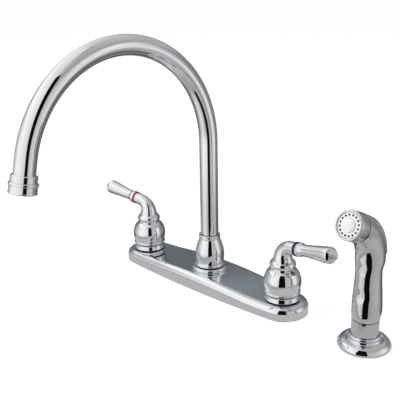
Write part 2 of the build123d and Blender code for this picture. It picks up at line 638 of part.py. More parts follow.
def spout_nut():
    thread = POST_RADIUS + THREAD
    ceiling = SPIGOT_FLANGE_TOP + BODY_GAP
    top = SPOUT_NUT_NECK_Z + SPOUT_NUT_LIP_HEIGHT
    bead_top = SPOUT_NUT_BASE + SPOUT_NUT_BEAD_HEIGHT
    lip_base = SPOUT_NUT_NECK_Z + 1.8
    return turned(
        (thread, SPOUT_NUT_BASE),
        (SPOUT_NUT_SKIRT_RADIUS, SPOUT_NUT_BASE),
        ((SPOUT_NUT_BEAD_RADIUS, (SPOUT_NUT_BASE + bead_top) / 2), (SPOUT_NUT_SKIRT_RADIUS, bead_top)),
        ((SPOUT_NUT_RADIUS, SPOUT_NUT_WIDEST_Z), (SPOUT_NUT_NECK_RADIUS, SPOUT_NUT_NECK_Z)),
        ((SPOUT_NUT_LIP_RADIUS - 0.1, SPOUT_NUT_NECK_Z + 0.6), (SPOUT_NUT_LIP_RADIUS, lip_base)),
        (SPOUT_NUT_LIP_RADIUS, top - 0.4),
        (SPOUT_NUT_LIP_RADIUS - 0.4, top),
        (SPOUT_NUT_LIP_BORE_RADIUS, top),
        (SPOUT_NUT_LIP_BORE_RADIUS, top - SPOUT_NUT_LIP_DEPTH),
        (TUBE_RADIUS + BODY_GAP, top - SPOUT_NUT_LIP_DEPTH),
        (TUBE_RADIUS + BODY_GAP, ceiling),
        (thread, ceiling),
    )


def thrust_washer():
    return tube(SPIGOT_FLANGE_RADIUS, SPIGOT_RADIUS + RUNNING, POST_TOP, SPIGOT_FLANGE_BASE)


def diverter():
    """Plug that rises off its seat when the spray takes water."""
    return tube(DIVERTER_RADIUS, DIVERTER_BORE_RADIUS, POST_LEDGE, POST_LEDGE + DIVERTER_HEIGHT)


def o_ring(height):
    return Pos(0, 0, height) * Torus(SPIGOT_RADIUS - O_RING_SECTION, O_RING_SECTION)


def spout_spigot():
    """Turned foot of the spout: a spigot in the post, a flange on it and a sleeve in the tube."""
    spigot = rod(SPIGOT_RADIUS, SPIGOT_BASE, SPIGOT_FLANGE_BASE)
    spigot += rod(SPIGOT_FLANGE_RADIUS, SPIGOT_FLANGE_BASE, SPIGOT_FLANGE_TOP)
    spigot += rod(TUBE_BORE_RADIUS - THREAD, SPIGOT_FLANGE_TOP, SPIGOT_FLANGE_TOP + SPIGOT_SLEEVE)
    spigot -= rod(SPIGOT_BORE_RADIUS, SPIGOT_BASE, SPIGOT_FLANGE_TOP + SPIGOT_SLEEVE)
    half = O_RING_SECTION + THREAD
    for height in O_RING_HEIGHTS:
        spigot -= tube(POST_RADIUS, SPIGOT_RADIUS - 2 * O_RING_SECTION, height - half, height + half)
    return spigot


def spout_tube():
    """Gooseneck: an upright leg, the arch and a short straight end, from one ring section."""
    arch_middle = radians(ARCH_SWEEP / 2)
    arch_end = radians(ARCH_SWEEP)

    def on_arch(angle):
        return (0, -ARCH_RADIUS * (1 - cos(angle)), ARCH_Z + ARCH_RADIUS * sin(angle))

    leg = Line((0, 0, SPIGOT_FLANGE_TOP), (0, 0, ARCH_Z))
    arch = ThreePointArc((0, 0, ARCH_Z), on_arch(arch_middle), on_arch(arch_end))
    end = on_arch(arch_end)
    tip = (0, end[1] - SPOUT_STRAIGHT * sin(arch_end), end[2] + SPOUT_STRAIGHT * cos(arch_end))
    path = Wire([leg, arch, Line(end, tip)])
    section = Pos(0, 0, SPIGOT_FLANGE_TOP) * (Circle(TUBE_RADIUS) - Circle(TUBE_BORE_RADIUS))
    return sweep(section, path=path)


def at_outlet(shape):
    """Moves a shape made along +Z to the end of the spout, pointing the way the water leaves."""
    angle = radians(ARCH_SWEEP)
    y = -ARCH_RADIUS * (1 - cos(angle)) - SPOUT_STRAIGHT * sin(angle)
    z = ARCH_Z + ARCH_RADIUS * sin(angle) + SPOUT_STRAIGHT * cos(angle)
    return Pos(0, y, z) * Rot(ARCH_SWEEP, 0, 0) * shape


def end_collar():
    """Threaded collar brazed on the tube's end, with the aerator's male thread."""
    thread_end = END_COLLAR_LENGTH + AERATOR_THREAD_LENGTH
    collar = turned(
        (TUBE_RADIUS + THREAD, 0),
        (TUBE_RADIUS + THREAD, -END_COLLAR_LAP),
        (END_COLLAR_RADIUS - 0.6, -END_COLLAR_LAP),
        (END_COLLAR_RADIUS, 0.6 - END_COLLAR_LAP),
        (END_COLLAR_RADIUS, END_COLLAR_LENGTH - 0.4),
        (END_COLLAR_RADIUS - 0.4, END_COLLAR_LENGTH),
        (AERATOR_THREAD_RADIUS, END_COLLAR_LENGTH),
        (AERATOR_THREAD_RADIUS, thread_end),
        (TUBE_BORE_RADIUS, thread_end),
        (TUBE_BORE_RADIUS, 0),
    )
    return at_outlet(collar)


def aerator_housing():
    low = END_COLLAR_LENGTH
    high = END_COLLAR_LENGTH + AERATOR_LENGTH
    thread_end = low + AERATOR_THREAD_LENGTH
    step = AERATOR_BAND_STEP
    band_end = low + AERATOR_BAND
    bead_middle = high - AERATOR_BEAD / 2
    shell = turned(
        (AERATOR_THREAD_RADIUS + THREAD, low),
        (AERATOR_RADIUS - step, low),
        (AERATOR_RADIUS, low + step),
        (AERATOR_RADIUS, band_end),
        (AERATOR_RADIUS - step, band_end + step),
        (AERATOR_END_RADIUS, high - AERATOR_BEAD),
        ((AERATOR_END_RADIUS + 0.3, bead_middle), (AERATOR_END_RADIUS - 0.3, high)),
        (AERATOR_LIP_RADIUS, high),
        (AERATOR_LIP_RADIUS, high - AERATOR_LIP),
        (AERATOR_BORE_RADIUS, high - AERATOR_LIP),
        (AERATOR_BORE_RADIUS, thread_end),
        (AERATOR_THREAD_RADIUS + THREAD, thread_end),
    )
    return at_outlet(shell)


def aerator_strainer():
    """Flow straightener seated on the housing's lip."""
    seat = END_COLLAR_LENGTH + AERATOR_LENGTH - AERATOR_LIP
    back = seat - STRAINER_THICKNESS
    disc = rod(AERATOR_BORE_RADIUS - THREAD, back, seat)
    hole = rod(STRAINER_HOLE_RADIUS, back, seat)
    disc -= hole
    for count, pitch in zip(STRAINER_HOLES, STRAINER_PITCHES):
        for index in range(count):
            disc -= Rot(0, 0, 360 * index / count) * Pos(pitch, 0, 0) * hole
    return at_outlet(disc)


# ---- spray holder, at its own axis ------------------------------------------------------------
def spray_holder():
    return turned(
        (HOLDER_BORE_RADIUS, -HOLDER_SHANK_LENGTH),
        (HOLDER_SHANK_RADIUS, -HOLDER_SHANK_LENGTH),
        (HOLDER_SHANK_RADIUS, 0),
        (HOLDER_BASE_RADIUS, 0),
        ((HOLDER_RADIUS - 0.6, 1.2), (HOLDER_RADIUS, HOLDER_WIDEST_Z)),
        ((HOLDER_DOME_RADIUS, HOLDER_DOME_Z), (HOLDER_CREST_RADIUS, HOLDER_CREST_Z)),
        ((HOLDER_GROOVE_RADIUS + 0.8, HOLDER_CREST_Z - 0.2), (HOLDER_GROOVE_RADIUS, HOLDER_GROOVE_Z)),
        ((HOLDER_LIP_RADIUS + 0.3, HOLDER_GROOVE_Z + 0.6), (HOLDER_LIP_RADIUS, HOLDER_LIP_Z - 2.4)),
        ((HOLDER_LIP_RADIUS - 0.6, HOLDER_LIP_Z - 0.4), (HOLDER_MOUTH_RADIUS, HOLDER_LIP_Z - 0.2)),
        (HOLDER_SEAT_RADIUS, HOLDER_SEAT_Z),
        (HOLDER_BORE_RADIUS, HOLDER_SEAT_Z),
    )


# ---- spray, with the grip's axis at the origin until it is placed --------------------------------
def spray_collar():
    """Lower collar with the tapered nose that sits in the holder."""
    nose_base = HOLDER_SEAT_Z + BODY_GAP
    nose_radius = HOLDER_SEAT_RADIUS - BODY_GAP
    return turned(
        (COLLAR_BORE_RADIUS, nose_base),
        (nose_radius - 0.5, nose_base),
        (nose_radius, nose_base + 0.5),
        (COLLAR_RADIUS, COLLAR_TAPER_Z),
        (COLLAR_RADIUS, COLLAR_TOP),
        (COLLAR_BORE_RADIUS, COLLAR_TOP),
    )


def hose_inlet():
    """Threaded nipple inside the collar, where the spray hose screws on."""
    spigot_base = SPRAY_BODY_BASE - SPRAY_FOOT_SPIGOT
    flange_base = spigot_base - HOSE_FLANGE_THICKNESS
    thread_base = HOLDER_SEAT_Z + BODY_GAP + 1.0
    nipple = rod(HOSE_SCREW_RADIUS, spigot_base, SPRAY_BODY_BASE)
    nipple += hexagon(2 * HOSE_FLANGE_RADIUS, flange_base, spigot_base)
    nipple += rod(HOSE_NIPPLE_RADIUS, thread_base, flange_base)
    return nipple - rod(HOSE_NIPPLE_BORE_RADIUS, thread_base, SPRAY_BODY_BASE)


def bend(section, turn):
    """Turns a section, drawn at the bend's height, about the bend's axis towards the front."""
    axis = Axis((0, BEND_CENTRE_Y - SPRAY_Y, SPRAY_BEND_Z), (1, 0, 0))
    return revolve(section, axis=axis, revolution_arc=turn)


def turned_section(section, turn):
    """Moves a section, drawn at the bend's height, a number of degrees round the bend."""
    centre = Pos(0, BEND_CENTRE_Y - SPRAY_Y, SPRAY_BEND_Z)
    return centre * Rot(turn, 0, 0) * centre.inverse() * section


def at_bend(shape, turn):
    """Moves a shape from the neck's centreline at the bend's start to a place round the bend."""
    centre = Pos(0, BEND_CENTRE_Y - SPRAY_Y, SPRAY_BEND_Z)
    return centre * Rot(turn, 0, 0) * Pos(0, SPRAY_BEND_RADIUS, 0) * shape


def neck_circle(radius):
    return Pos(0, SPRAY_NECK_BACK, SPRAY_BEND_Z) * Circle(radius)


def recess_section():
    """Section of the trigger's recess in the back of the neck."""
    depth = 2 * SPRAY_NECK_RADIUS
    block = Pos(0, depth / 2) * Rectangle(RECESS_WIDTH, depth)
    return Pos(0, SPRAY_NECK_BACK, SPRAY_BEND_Z) * (block - Circle(RECESS_FLOOR_RADIUS))


def spray_grip():
    """Outer shape of the grip: the swelling foot, the waist and the run out to the neck."""
    swell_start = (SPRAY_BODY_BASE + SPRAY_SWELL_Z) / 2
    foot = turned(
        (0, SPRAY_BODY_BASE),
        (SPRAY_FOOT_RADIUS, SPRAY_BODY_BASE),
        ((SPRAY_SWELL_RADIUS - 0.1, swell_start), (SPRAY_SWELL_RADIUS, SPRAY_SWELL_Z)),
        ((SPRAY_MIDDLE_RADIUS, SPRAY_MIDDLE_Z), (SPRAY_WAIST_RADIUS, SPRAY_WAIST_Z)),
        (0, SPRAY_WAIST_Z),
    )
    sections = []
    for step in range(SPRAY_NECK_STEPS + 1):
        share = step / SPRAY_NECK_STEPS
        ease = share * share * (3 - 2 * share)
        radius = SPRAY_WAIST_RADIUS + ease * (SPRAY_NECK_RADIUS - SPRAY_WAIST_RADIUS)
        z = SPRAY_WAIST_Z + share * (SPRAY_NECK_Z - SPRAY_WAIST_Z)
        sections.append(Pos(0, ease * SPRAY_NECK_BACK, z) * Circle(radius))
    neck = Pos(0, SPRAY_NECK_BACK, 0) * rod(SPRAY_NECK_RADIUS, SPRAY_NECK_Z, SPRAY_BEND_Z)
    grip = foot + loft(sections) + neck
    for height in FINGER_GRIP_HEIGHTS:
        reach = SPRAY_MIDDLE_RADIUS - FINGER_GRIP_DEPTH + FINGER_GRIP_RADIUS
        cutter = cross_rod(FINGER_GRIP_RADIUS, -SPRAY_SWELL_RADIUS, SPRAY_SWELL_RADIUS)
        grip -= Pos(0, -reach, height) * cutter
    return grip


def spray_body():
    spigot_base = SPRAY_BODY_BASE - SPRAY_FOOT_SPIGOT
    body = spray_grip() + bend(neck_circle(SPRAY_NECK_RADIUS), SPRAY_TURN)
    body += rod(COLLAR_BORE_RADIUS - THREAD, spigot_base, SPRAY_BODY_BASE)
    body += at_bend(rod(HEAD_SPIGOT_RADIUS, 0, HEAD_SPIGOT_LENGTH), SPRAY_TURN)
    # waterway
    body -= rod(SPRAY_BORE_RADIUS, SPRAY_BODY_BASE, SPRAY_BEND_Z)
    body -= bend(neck_circle(SPRAY_BORE_RADIUS), SPRAY_TURN)
    body -= at_bend(rod(SPRAY_BORE_RADIUS, 0, HEAD_SPIGOT_LENGTH), SPRAY_TURN)
    body -= rod(HOSE_SCREW_RADIUS + THREAD, spigot_base, SPRAY_BODY_BASE)
    # plunger hole, with a pocket for its head
    pocket_floor = RECESS_FLOOR_RADIUS - PLUNGER_POCKET_DEPTH
    body -= back_rod(PLUNGER_RADIUS + RUNNING, 0, SPRAY_NECK_RADIUS)
    body -= back_rod(PLUNGER_POCKET_RADIUS, pocket_floor, SPRAY_NECK_RADIUS)
    # trigger recess
    body -= bend(turned_section(recess_section(), RECESS_START), RECESS_TURN - RECESS_START)
    # hinge slot and pin hole
    slot_floor = HINGE_DEPTH - HINGE_LUG_RADIUS - BODY_GAP
    slot_depth = SPRAY_NECK_RADIUS - slot_floor
    slot_width = HINGE_LUG_WIDTH + 2 * BODY_GAP
    slot_length = 2 * (HINGE_LUG_RADIUS + BODY_GAP)
    slot = Pos(0, slot_floor + slot_depth / 2, 0) * Box(slot_width, slot_depth, slot_length)
    body -= at_bend(slot, HINGE_TURN)
    body -= at_bend(hinge_rod(HINGE_PIN_RADIUS, HINGE_PIN_LENGTH), HINGE_TURN)
    return body


def hinge_rod(radius, length):
    """Cylinder on the trigger's hinge axis."""
    return Pos(-length / 2, HINGE_DEPTH, 0) * Rot(0, 90, 0) * rod(radius, 0, length)


def back_rod(radius, start, end):
    """Cylinder at the plunger's height, pointing back from the neck's centreline."""
    bar = Rot(-90, 0, 0) * rod(radius, start, end)
    return Pos(0, SPRAY_NECK_BACK, PLUNGER_Z) * bar


def head_ring():
    step = HEAD_SPIGOT_LENGTH + SEAL_THICKNESS
    face_base = HEAD_LENGTH - FACE_RECESS - FACE_THICKNESS
    rim = 0.3 * HEAD_RIM
    ring = turned(
        (HEAD_SPIGOT_RADIUS + THREAD, 0.2),
        (HEAD_RADIUS - 0.4, 0.2),
        (HEAD_RADIUS, 0.6),
        (HEAD_RADIUS, HEAD_LENGTH - HEAD_RIM),
        ((HEAD_RADIUS - rim, HEAD_LENGTH - rim), (HEAD_RADIUS - HEAD_RIM, HEAD_LENGTH)),
        (FACE_RADIUS + THREAD, HEAD_LENGTH),
        (FACE_RADIUS + THREAD, face_base),
        (HEAD_THROAT_RADIUS, face_base),
        (HEAD_THROAT_RADIUS, step),
        (HEAD_SPIGOT_RADIUS + THREAD, step),
    )
    return at_bend(ring, SPRAY_TURN)


def head_seal():
    low = HEAD_SPIGOT_LENGTH
    return at_bend(tube(HEAD_SPIGOT_RADIUS, SEAL_BORE_RADIUS, low, low + SEAL_THICKNESS), SPRAY_TURN)


def spray_face():
    high = HEAD_LENGTH - FACE_RECESS
    disc = tube(FACE_RADIUS, BUTTON_RADIUS + THREAD, high - FACE_THICKNESS, high)
    hole = rod(FACE_HOLE_RADIUS, high - FACE_THICKNESS, high)
    for index in range(FACE_HOLES):
        turn = FACE_HOLE_START + 360 * index / FACE_HOLES
        disc -= Rot(0, 0, turn) * Pos(FACE_HOLE_PITCH, 0, 0) * hole
    return at_bend(disc, SPRAY_TURN)


def spray_button():
    low = HEAD_LENGTH - FACE_RECESS - FACE_THICKNESS
    side_top = HEAD_LENGTH - FACE_RECESS + BUTTON_RISE
    button = turned(
        (0, low),
        (BUTTON_RADIUS, low),
        (BUTTON_RADIUS, side_top),
        (cap_middle(BUTTON_RADIUS, side_top, BUTTON_CROWN), (0, side_top + BUTTON_CROWN)),
    )
    return at_bend(button, SPRAY_TURN)


# ---- trigger ----------------------------------------------------------------------------------
def trigger_axis_shift():
    """How far the trigger's own bend stands back and down, to close in on the neck at the hinge."""
    turn = radians(TRIGGER_TURN)
    back = TRIGGER_STAND_OFF
    down = (back * cos(turn) - TRIGGER_HINGE_STAND_OFF) / sin(turn)
    return back, down


def trigger():
    """Curved thumb lever over the back of the neck, with a lug on the hinge pin."""
    back, down = trigger_axis_shift()
    inner = RECESS_FLOOR_RADIUS
    outer = RECESS_FLOOR_RADIUS + TRIGGER_THICKNESS
    strip = Pos(0, outer) * Rectangle(TRIGGER_WIDTH, 2 * outer)
    section = strip & (Circle(outer) - Circle(inner))
    section = Pos(0, SPRAY_NECK_BACK, SPRAY_BEND_Z) * section
    lever = bend(turned_section(section, TRIGGER_START), TRIGGER_TURN - TRIGGER_START)
    lever = Pos(0, back, -down) * lever
    lug_top = RECESS_FLOOR_RADIUS + TRIGGER_THICKNESS / 2 + TRIGGER_HINGE_STAND_OFF
    lug_height = lug_top - HINGE_DEPTH
    lug = hinge_rod(HINGE_LUG_RADIUS, HINGE_LUG_WIDTH)
    lug_block = Box(HINGE_LUG_WIDTH, lug_height, 2 * HINGE_LUG_RADIUS)
    lug += Pos(0, HINGE_DEPTH + lug_height / 2, 0) * lug_block
    pin_hole = hinge_rod(HINGE_PIN_RADIUS + RUNNING, HINGE_LUG_WIDTH)
    return lever + at_bend(lug, HINGE_TURN) - at_bend(pin_hole, HINGE_TURN)


def trigger_pin():
    return at_bend(hinge_rod(HINGE_PIN_RADIUS, HINGE_PIN_LENGTH), HINGE_TURN)


def plunger():
    """Valve plunger that the trigger pushes into the waterway."""
    head_end = RECESS_FLOOR_RADIUS + TRIGGER_STAND_OFF - PLUNGER_HEAD_GAP
    head_start = head_end - PLUNGER_HEAD_THICKNESS
    shank = back_rod(PLUNGER_RADIUS, PLUNGER_REACH, head_start)
    return shank + back_rod(PLUNGER_HEAD_RADIUS, head_start, head_end)


# ---- the whole faucet -------------------------------------------------------------------------
def build():
    os.makedirs("parts", exist_ok=True)
    plate = plate_form(0)
    save("deck_plate", deck_plate())
    save("deck_gasket", deck_gasket())

    # the two valves and handles: the cold one is on the right and its lever points right
    for name, side, heading in (("hot", -1, 180), ("cold", 1, 0)):
        here = Pos(side * HANDLE_X, 0, 0)
        lever = here * Rot(0, 0, heading - side * LEVER_YAW)
        save(name + "_valve_body", here * Rot(0, 0, heading + 180) * valve_body())
        save(name + "_crossover_tube", Rot(0, 0, heading) * crossover_tube())
        save(name + "_cartridge", here * cartridge())
        save(name + "_fixed_disc", here * ceramic_disc(CARTRIDGE_BASE, DISC_RADIUS))
        save(name + "_bonnet_nut", here * bonnet_nut())
        save(name + "_base_ring", here * base_ring() - plate)
        save(name + "_moving_disc", lever * Rot(0, 0, 90) * ceramic_disc(MOVING_DISC_BASE, DISC_RADIUS))
        save(name + "_stem", lever * valve_stem())
        save(name + "_handle", lever * handle_casting())
        save(name + "_set_screw", lever * set_screw())
        save(name + "_index_ring", lever * index_ring())
        save(name + "_lever_grip", lever * lever_grip())

    shanks = [Pos(side * HANDLE_X, 0, 0) for side in (-1, 1)]
    shank_washer = washer(WASHER_RADIUS, SHANK_RADIUS + THREAD, -DECK_THICKNESS)
    shank_nut = locknut(LOCKNUT_ACROSS_FLATS, SHANK_RADIUS + THREAD)
    save("shank_washers", group([place * shank_washer for place in shanks]))
    save("shank_locknuts", group([place * shank_nut for place in shanks]))

    save("spout_post", spout_post())
    save("spray_outlet", spray_outlet())
    save("spout_base_ring", post_ring() - plate)
    save("spout_nut", spout_nut())
    save("diverter", diverter())
    save("spout_thrust_washer", thrust_washer())

    spout = Rot(0, 0, SPOUT_SWING)
    save("spout_spigot", spout * spout_spigot())
    save("spout_o_rings", group([o_ring(height) for height in O_RING_HEIGHTS]))
    save("spout_tube", spout * spout_tube())
    save("spout_end_collar", spout * end_collar())
    save("aerator_housing", spout * aerator_housing())
    save("aerator_strainer", spout * aerator_strainer())

    spray = Pos(SPRAY_X, SPRAY_Y, 0) * Rot(0, 0, SPRAY_SWING)
    holder_bore = HOLDER_SHANK_RADIUS + THREAD
    save("spray_holder", spray * spray_holder())
    save("holder_washer", spray * washer(HOLDER_WASHER_RADIUS, holder_bore, -DECK_THICKNESS))
    save("holder_locknut", spray * locknut(HOLDER_NUT_ACROSS_FLATS, holder_bore))
    save("spray_collar", spray * spray_collar())
    save("spray_hose_inlet", spray * hose_inlet())
    save("spray_body", spray * spray_body())
    save("spray_head_ring", spray * head_ring())
    save("spray_head_seal", spray * head_seal())
    save("spray_face", spray * spray_face())
    save("spray_button", spray * spray_button())
    save("spray_trigger", spray * trigger())
    save("spray_trigger_pin", spray * trigger_pin())
    save("spray_plunger", spray * plunger())


build()
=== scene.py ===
from math import asin, cos, pi, radians, sin

import bmesh
import bpy
from mathutils import Matrix, Vector


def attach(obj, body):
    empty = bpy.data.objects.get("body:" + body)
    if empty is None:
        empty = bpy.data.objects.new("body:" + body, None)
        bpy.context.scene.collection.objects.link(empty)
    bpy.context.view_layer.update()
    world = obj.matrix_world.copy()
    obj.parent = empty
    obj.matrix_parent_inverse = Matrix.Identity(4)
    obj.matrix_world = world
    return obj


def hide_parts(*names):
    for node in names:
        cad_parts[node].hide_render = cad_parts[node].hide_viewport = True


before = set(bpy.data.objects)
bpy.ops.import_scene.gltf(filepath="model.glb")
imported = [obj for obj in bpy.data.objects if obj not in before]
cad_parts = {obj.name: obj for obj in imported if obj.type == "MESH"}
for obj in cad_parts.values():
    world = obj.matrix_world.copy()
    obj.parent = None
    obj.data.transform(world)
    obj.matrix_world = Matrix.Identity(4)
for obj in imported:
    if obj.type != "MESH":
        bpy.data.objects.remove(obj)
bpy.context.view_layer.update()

# Camera: the photograph's own, in the frame's axes. Lengths are metres.
CAMERA_PLACE = (0.490209, -0.497811, 0.324811)
CAMERA_RIGHT = (0.706378, 0.707633, -0.016920)
CAMERA_UP = (-0.209569, 0.231910, 0.949894)
CAMERA_BACK = (0.676100, -0.667438, 0.312114)
SENSOR = 36.0
PICTURE_PIXELS = 400
FOCAL_PIXELS = 683.82
CLIP_START = 0.01

# Studio: a pale floor, lamps, and a light tent that only the metal reflects. Levels of light are
# given round the object, by degrees from the camera, positive to its right.
FLOOR_SIZE = 120.0
FLOOR_WHITE = 0.80
FLOOR_SHADE = 0.16            # share of the floor's white that the object's shadow can take away
FLOOR_LIGHT = 0.32            # of the lamps and the world on it
TENT_RADIUS = 1.1
TENT_SEGMENTS = (96, 48)      # round it, and from its foot to its top
TENT_BRIGHTEST = 1.2
TENT_TOP = ((-180, 0.60), (-120, 0.86), (-50, 0.86), (-10, 0.72), (30, 0.45), (90, 0.50), (180, 0.60))
TENT_UPPER = ((-180, 0.50), (-155, 0.80), (-138, 1.12), (-90, 1.12), (-45, 1.00), (-10, 0.82), (18, 0.40),
              (70, 0.40), (110, 0.45), (180, 0.46))
TENT_MIDDLE = ((-180, 0.22), (-130, 0.26), (-112, 0.50), (-96, 0.68), (-76, 0.96), (-58, 1.04), (-30, 0.90),
               (-10, 0.78), (10, 0.50), (28, 0.56), (45, 0.62), (58, 0.74), (74, 0.92), (88, 0.56),
               (104, 0.26), (180, 0.20))
TENT_LOWER = ((-180, 0.12), (-130, 0.15), (-110, 0.30), (-92, 0.58), (-70, 0.84), (-48, 0.74), (-25, 0.46),
              (5, 0.38), (60, 0.50), (80, 0.48), (94, 0.30), (106, 0.13), (180, 0.12))
TENT_BOTTOM = ((-180, 0.11), (-120, 0.13), (-70, 0.46), (-25, 0.36), (60, 0.28), (100, 0.10), (180, 0.11))
TENT_LEVELS = (TENT_BOTTOM, TENT_LOWER, TENT_MIDDLE, TENT_UPPER, TENT_TOP)
TENT_BLENDS = ((-62, -45), (-17, -5), (26, 40), (48, 66))    # heights in degrees, each from one to the next
MAT = ((-0.19, -0.115), (0.13, -0.105), (0.20, -0.068), (0.25, -0.050), (0.262, 0.060), (0.13, 0.060),
       (0.12, 0.040), (-0.15, 0.040))       # corners of the grey mat that the metal shows below itself
MAT_LIFT = 0.0005             # above the floor
MAT_NEAR = 0.52               # its light beside the plate
MAT_FAR = 0.40                # and in front of it
MAT_BLEND = (-0.075, -0.045)  # places from front to back where one turns into the other
MAT_RIGHT = 0.90              # share of both that is left beside the spray
MAT_RIGHT_BLEND = (0.15, 0.19)
GAP = ((0.21, -0.358), (0.464, -0.2545))    # ends of the tent's dark opening, on the camera's side
GAP_SPAN = (-0.50, 0.72)      # its heights
BACK_DISTANCE = 0.55          # dark card behind the object
BACK_HALF_WIDTH = 0.50
BACK_SPAN = (-0.30, 0.44)
BACK_FADE = (0.22, 0.42)      # heights between which the card grows paler
BACK_DARK = 0.155
BACK_PALE = 0.36
BACK_SIDES = (-0.22, 1.15, 0.18, 0.74)  # share of that light at two places, from left to right
BACK_TINT = (0.90, 1.01, 1.09, 1)
BLACK = 0.004
LAMP_AIM = (0, 0, 0.1)
KEY_LAMP = ((-1.1, -1.1, 1.4), 0.7, 34)     # place, size and watts
FILL_LAMP = ((1.6, -0.4, 1.2), 1.2, 4)
WORLD_LIGHT = 0.34            # of the world on the object; it shows as white

# Materials: shares of a chrome's tone in red, green and blue, where its smears are thick and thin.
CHROME_TINTS = ((0.965, 0.985, 1.015), (0.985, 0.995, 1.010))

# Pieces: millimetres, as in the part's source, turned to metres by MM.
MM = 0.001
TURN_SEGMENTS = 96
SHARP = radians(32)           # edges that turn by more than this stay crisp
MERGE = 1e-7                  # metres within which points are one
TINY = 1e-6                   # keeps a division off zero
HANDLE_X = 101.6
DECK_PLATE_TOP = 13.2         # at its flat ends
VALVE_BORE = 11.55
RING_TOP = 19.6
RING_TOP_RADIUS = 16.9
RING_FOOT_RADIUS = 18.2
RING_CORNER = 0.6             # rounding of its foot
RING_LIP = (0.5, 0.4)         # width and height of the rounding of its top
RING_FLARE = 1.7              # power of the flare's curve
RING_FLARE_ENDS = (0.7, 0.5)  # distances of the flare from the ring's foot and top
RING_FLARE_STEPS = 12
FOOT_SHADE_HEIGHT = 1.3             # of the black ring under the foot ring, a painted contact shadow
FOOT_SHADE_INSET = 1.0              # of its edge from the ring's
FOOT_SHADE_SWELL = 0.9
BELL_BASE = 21.0
# Black ring in the gap between a foot ring and its bell: painted shade in that gap.
GAP_SHADE_CLEARANCE = 0.15       # under the bell
GAP_SHADE_BORE = 13.55
GAP_SHADE_INSET = 0.7
GAP_SHADE_SWELL = 0.2
LEVER_TURN = 81.0
LEVER_HEADING = {"hot": 186.0, "cold": -6.0}
ELBOW_END = (10.12, 0, 70.75)
INDEX_AT = 7.9                # along the lever from the elbow
INDEX_LENGTH = 2.3
INDEX_RADIUS = 7.2
INDEX_CORNER = (0.35, 0.5)    # width and height of the rounding of its edges
STUD_RADIUS = 3.05
GRIP_START = 9.5              # along the lever from the elbow
# Places along the grip, with its radius there: the grip itself, and the turned steps of its nose.
GRIP_PROFILE = ((0.0, 6.7), (1.2, 6.75), (2.4, 6.95), (3.6, 7.15), (4.8, 6.95), (6.2, 6.3), (10.0, 5.8),
                (24.0, 6.7), (36.0, 7.8), (40.9, 8.0), (42.2, 7.6), (43.4, 6.6), (44.3, 5.6))
GRIP_NOSE = ((44.35, 5.1), (44.8, 5.15), (45.3, 5.0), (45.8, 4.4), (45.85, 3.8), (46.4, 3.85), (47.0, 3.5),
             (47.5, 2.8), (47.6, 2.2), (48.0, 2.15), (48.4, 1.4), (48.55, 0.5))
SCREW_Z = 45.2
SCREW_RADIUS = 2.2
SCREW_SPAN = (4.0, 12.7)
SCREW_SEGMENTS = 48
SCREW_TIP = 0.3               # bevel of its inner end
SCREW_BEVEL = 0.45            # and of its outer end
SCREW_LEAD = 0.2              # from the tip to the thread
SCREW_PLAIN = 1.0             # length that the thread leaves out
SCREW_THREAD = (0.7, 0.25, 0.3)             # pitch, depth, and rise from root to crest
SCREW_SOCKET = (1.15, 1.6)    # corner radius and depth

SPRAY_PLACE = (200.6, -4.4)
SPRAY_SWING = -1.3
SPRAY_FOOT = (28.4, 12.5)     # height and radius of the grip's places
SPRAY_SWELL = (35.0, 13.2)
SPRAY_WAIST = (74.5, 11.6)
SPRAY_NECK = (86.5, 13.2)
SPRAY_BACK_SWELL = ((28.4, 0.2), (38.0, 2.0), (50.0, 1.8), (70.0, 0.9), (84.0, 0.0))   # height, depth
SPRAY_BACK_FADE = 1.5         # power of the swell's fall towards the sides
SPRAY_NECK_BACK = 1.2         # how far the neck stands back from the foot
SPRAY_RING_GAP = 0.8          # height between the grip's rings
SPRAY_STEPS = (88, 36)        # points of a ring round the body, and over the recess's floor
FINGER_GROOVES = ((53.9, 8.2), (79.6, 8.8))    # height and half length
FINGER_DEPTH = 0.70
FINGER_SPREAD = 54.0          # degrees each side of the front
BEND_BASE = 87.0
BEND_RADIUS = 37.4
BEND_TURN = 68.0
WATERWAY_RADIUS = 3.5
FOOT_SPIGOT = (9.5, 21.4)     # radius and base
FOOT_BORE = 5.05
FOOT_BEVEL = (0.35, 0.3)      # width and height
WATERWAY_STEPS = 12
HEAD_SPIGOT = (10.8, 5.0)     # radius and length
NECK_BEVEL = (0.8, 1.2)       # width, and degrees of the bend
RECESS = (1.6, 60.4)          # degrees round the bend that the trigger's recess takes
RECESS_HALF_WIDTH = 9.6
RECESS_FLOOR = 11.0           # its radius
RECESS_STEPS = 40
HINGE_TURN = 56.0
HINGE_HEIGHT = 7.6            # of its pin over the neck's centreline
HINGE_SLOT = (7.6, 4.4)       # width, and length along the bend
HINGE_SLOT_FLOOR = 5.5
HINGE_PIN = (1.02, 12.2)      # radius and length
HINGE_LUG = (1.9, 3.5, 12.3)  # radius, half width, and height over the neck's centreline
HINGE_LUG_BORE = 1.05
HINGE_LUG_SEGMENTS = 48
TRIGGER_SHIFT = (2.5, -0.585) # of its own bend from the neck's, back and down
TRIGGER_SPAN = (4.2, 62.0)    # degrees round its bend
TRIGGER_FLOOR = 11.0          # inner radius of its strip
TRIGGER_OUTER = 13.7
TRIGGER_HALF_WIDTH = 9.1
TRIGGER_SOFT = (0.9, 0.54, 1.8)             # rounding of its long edges: width, and depths of corner and end
TRIGGER_STEPS = 16            # points across it
TRIGGER_PLAIN_START = 3.0     # degrees from its free end to the first plain ring
TRIGGER_RING_GAP = 1.5
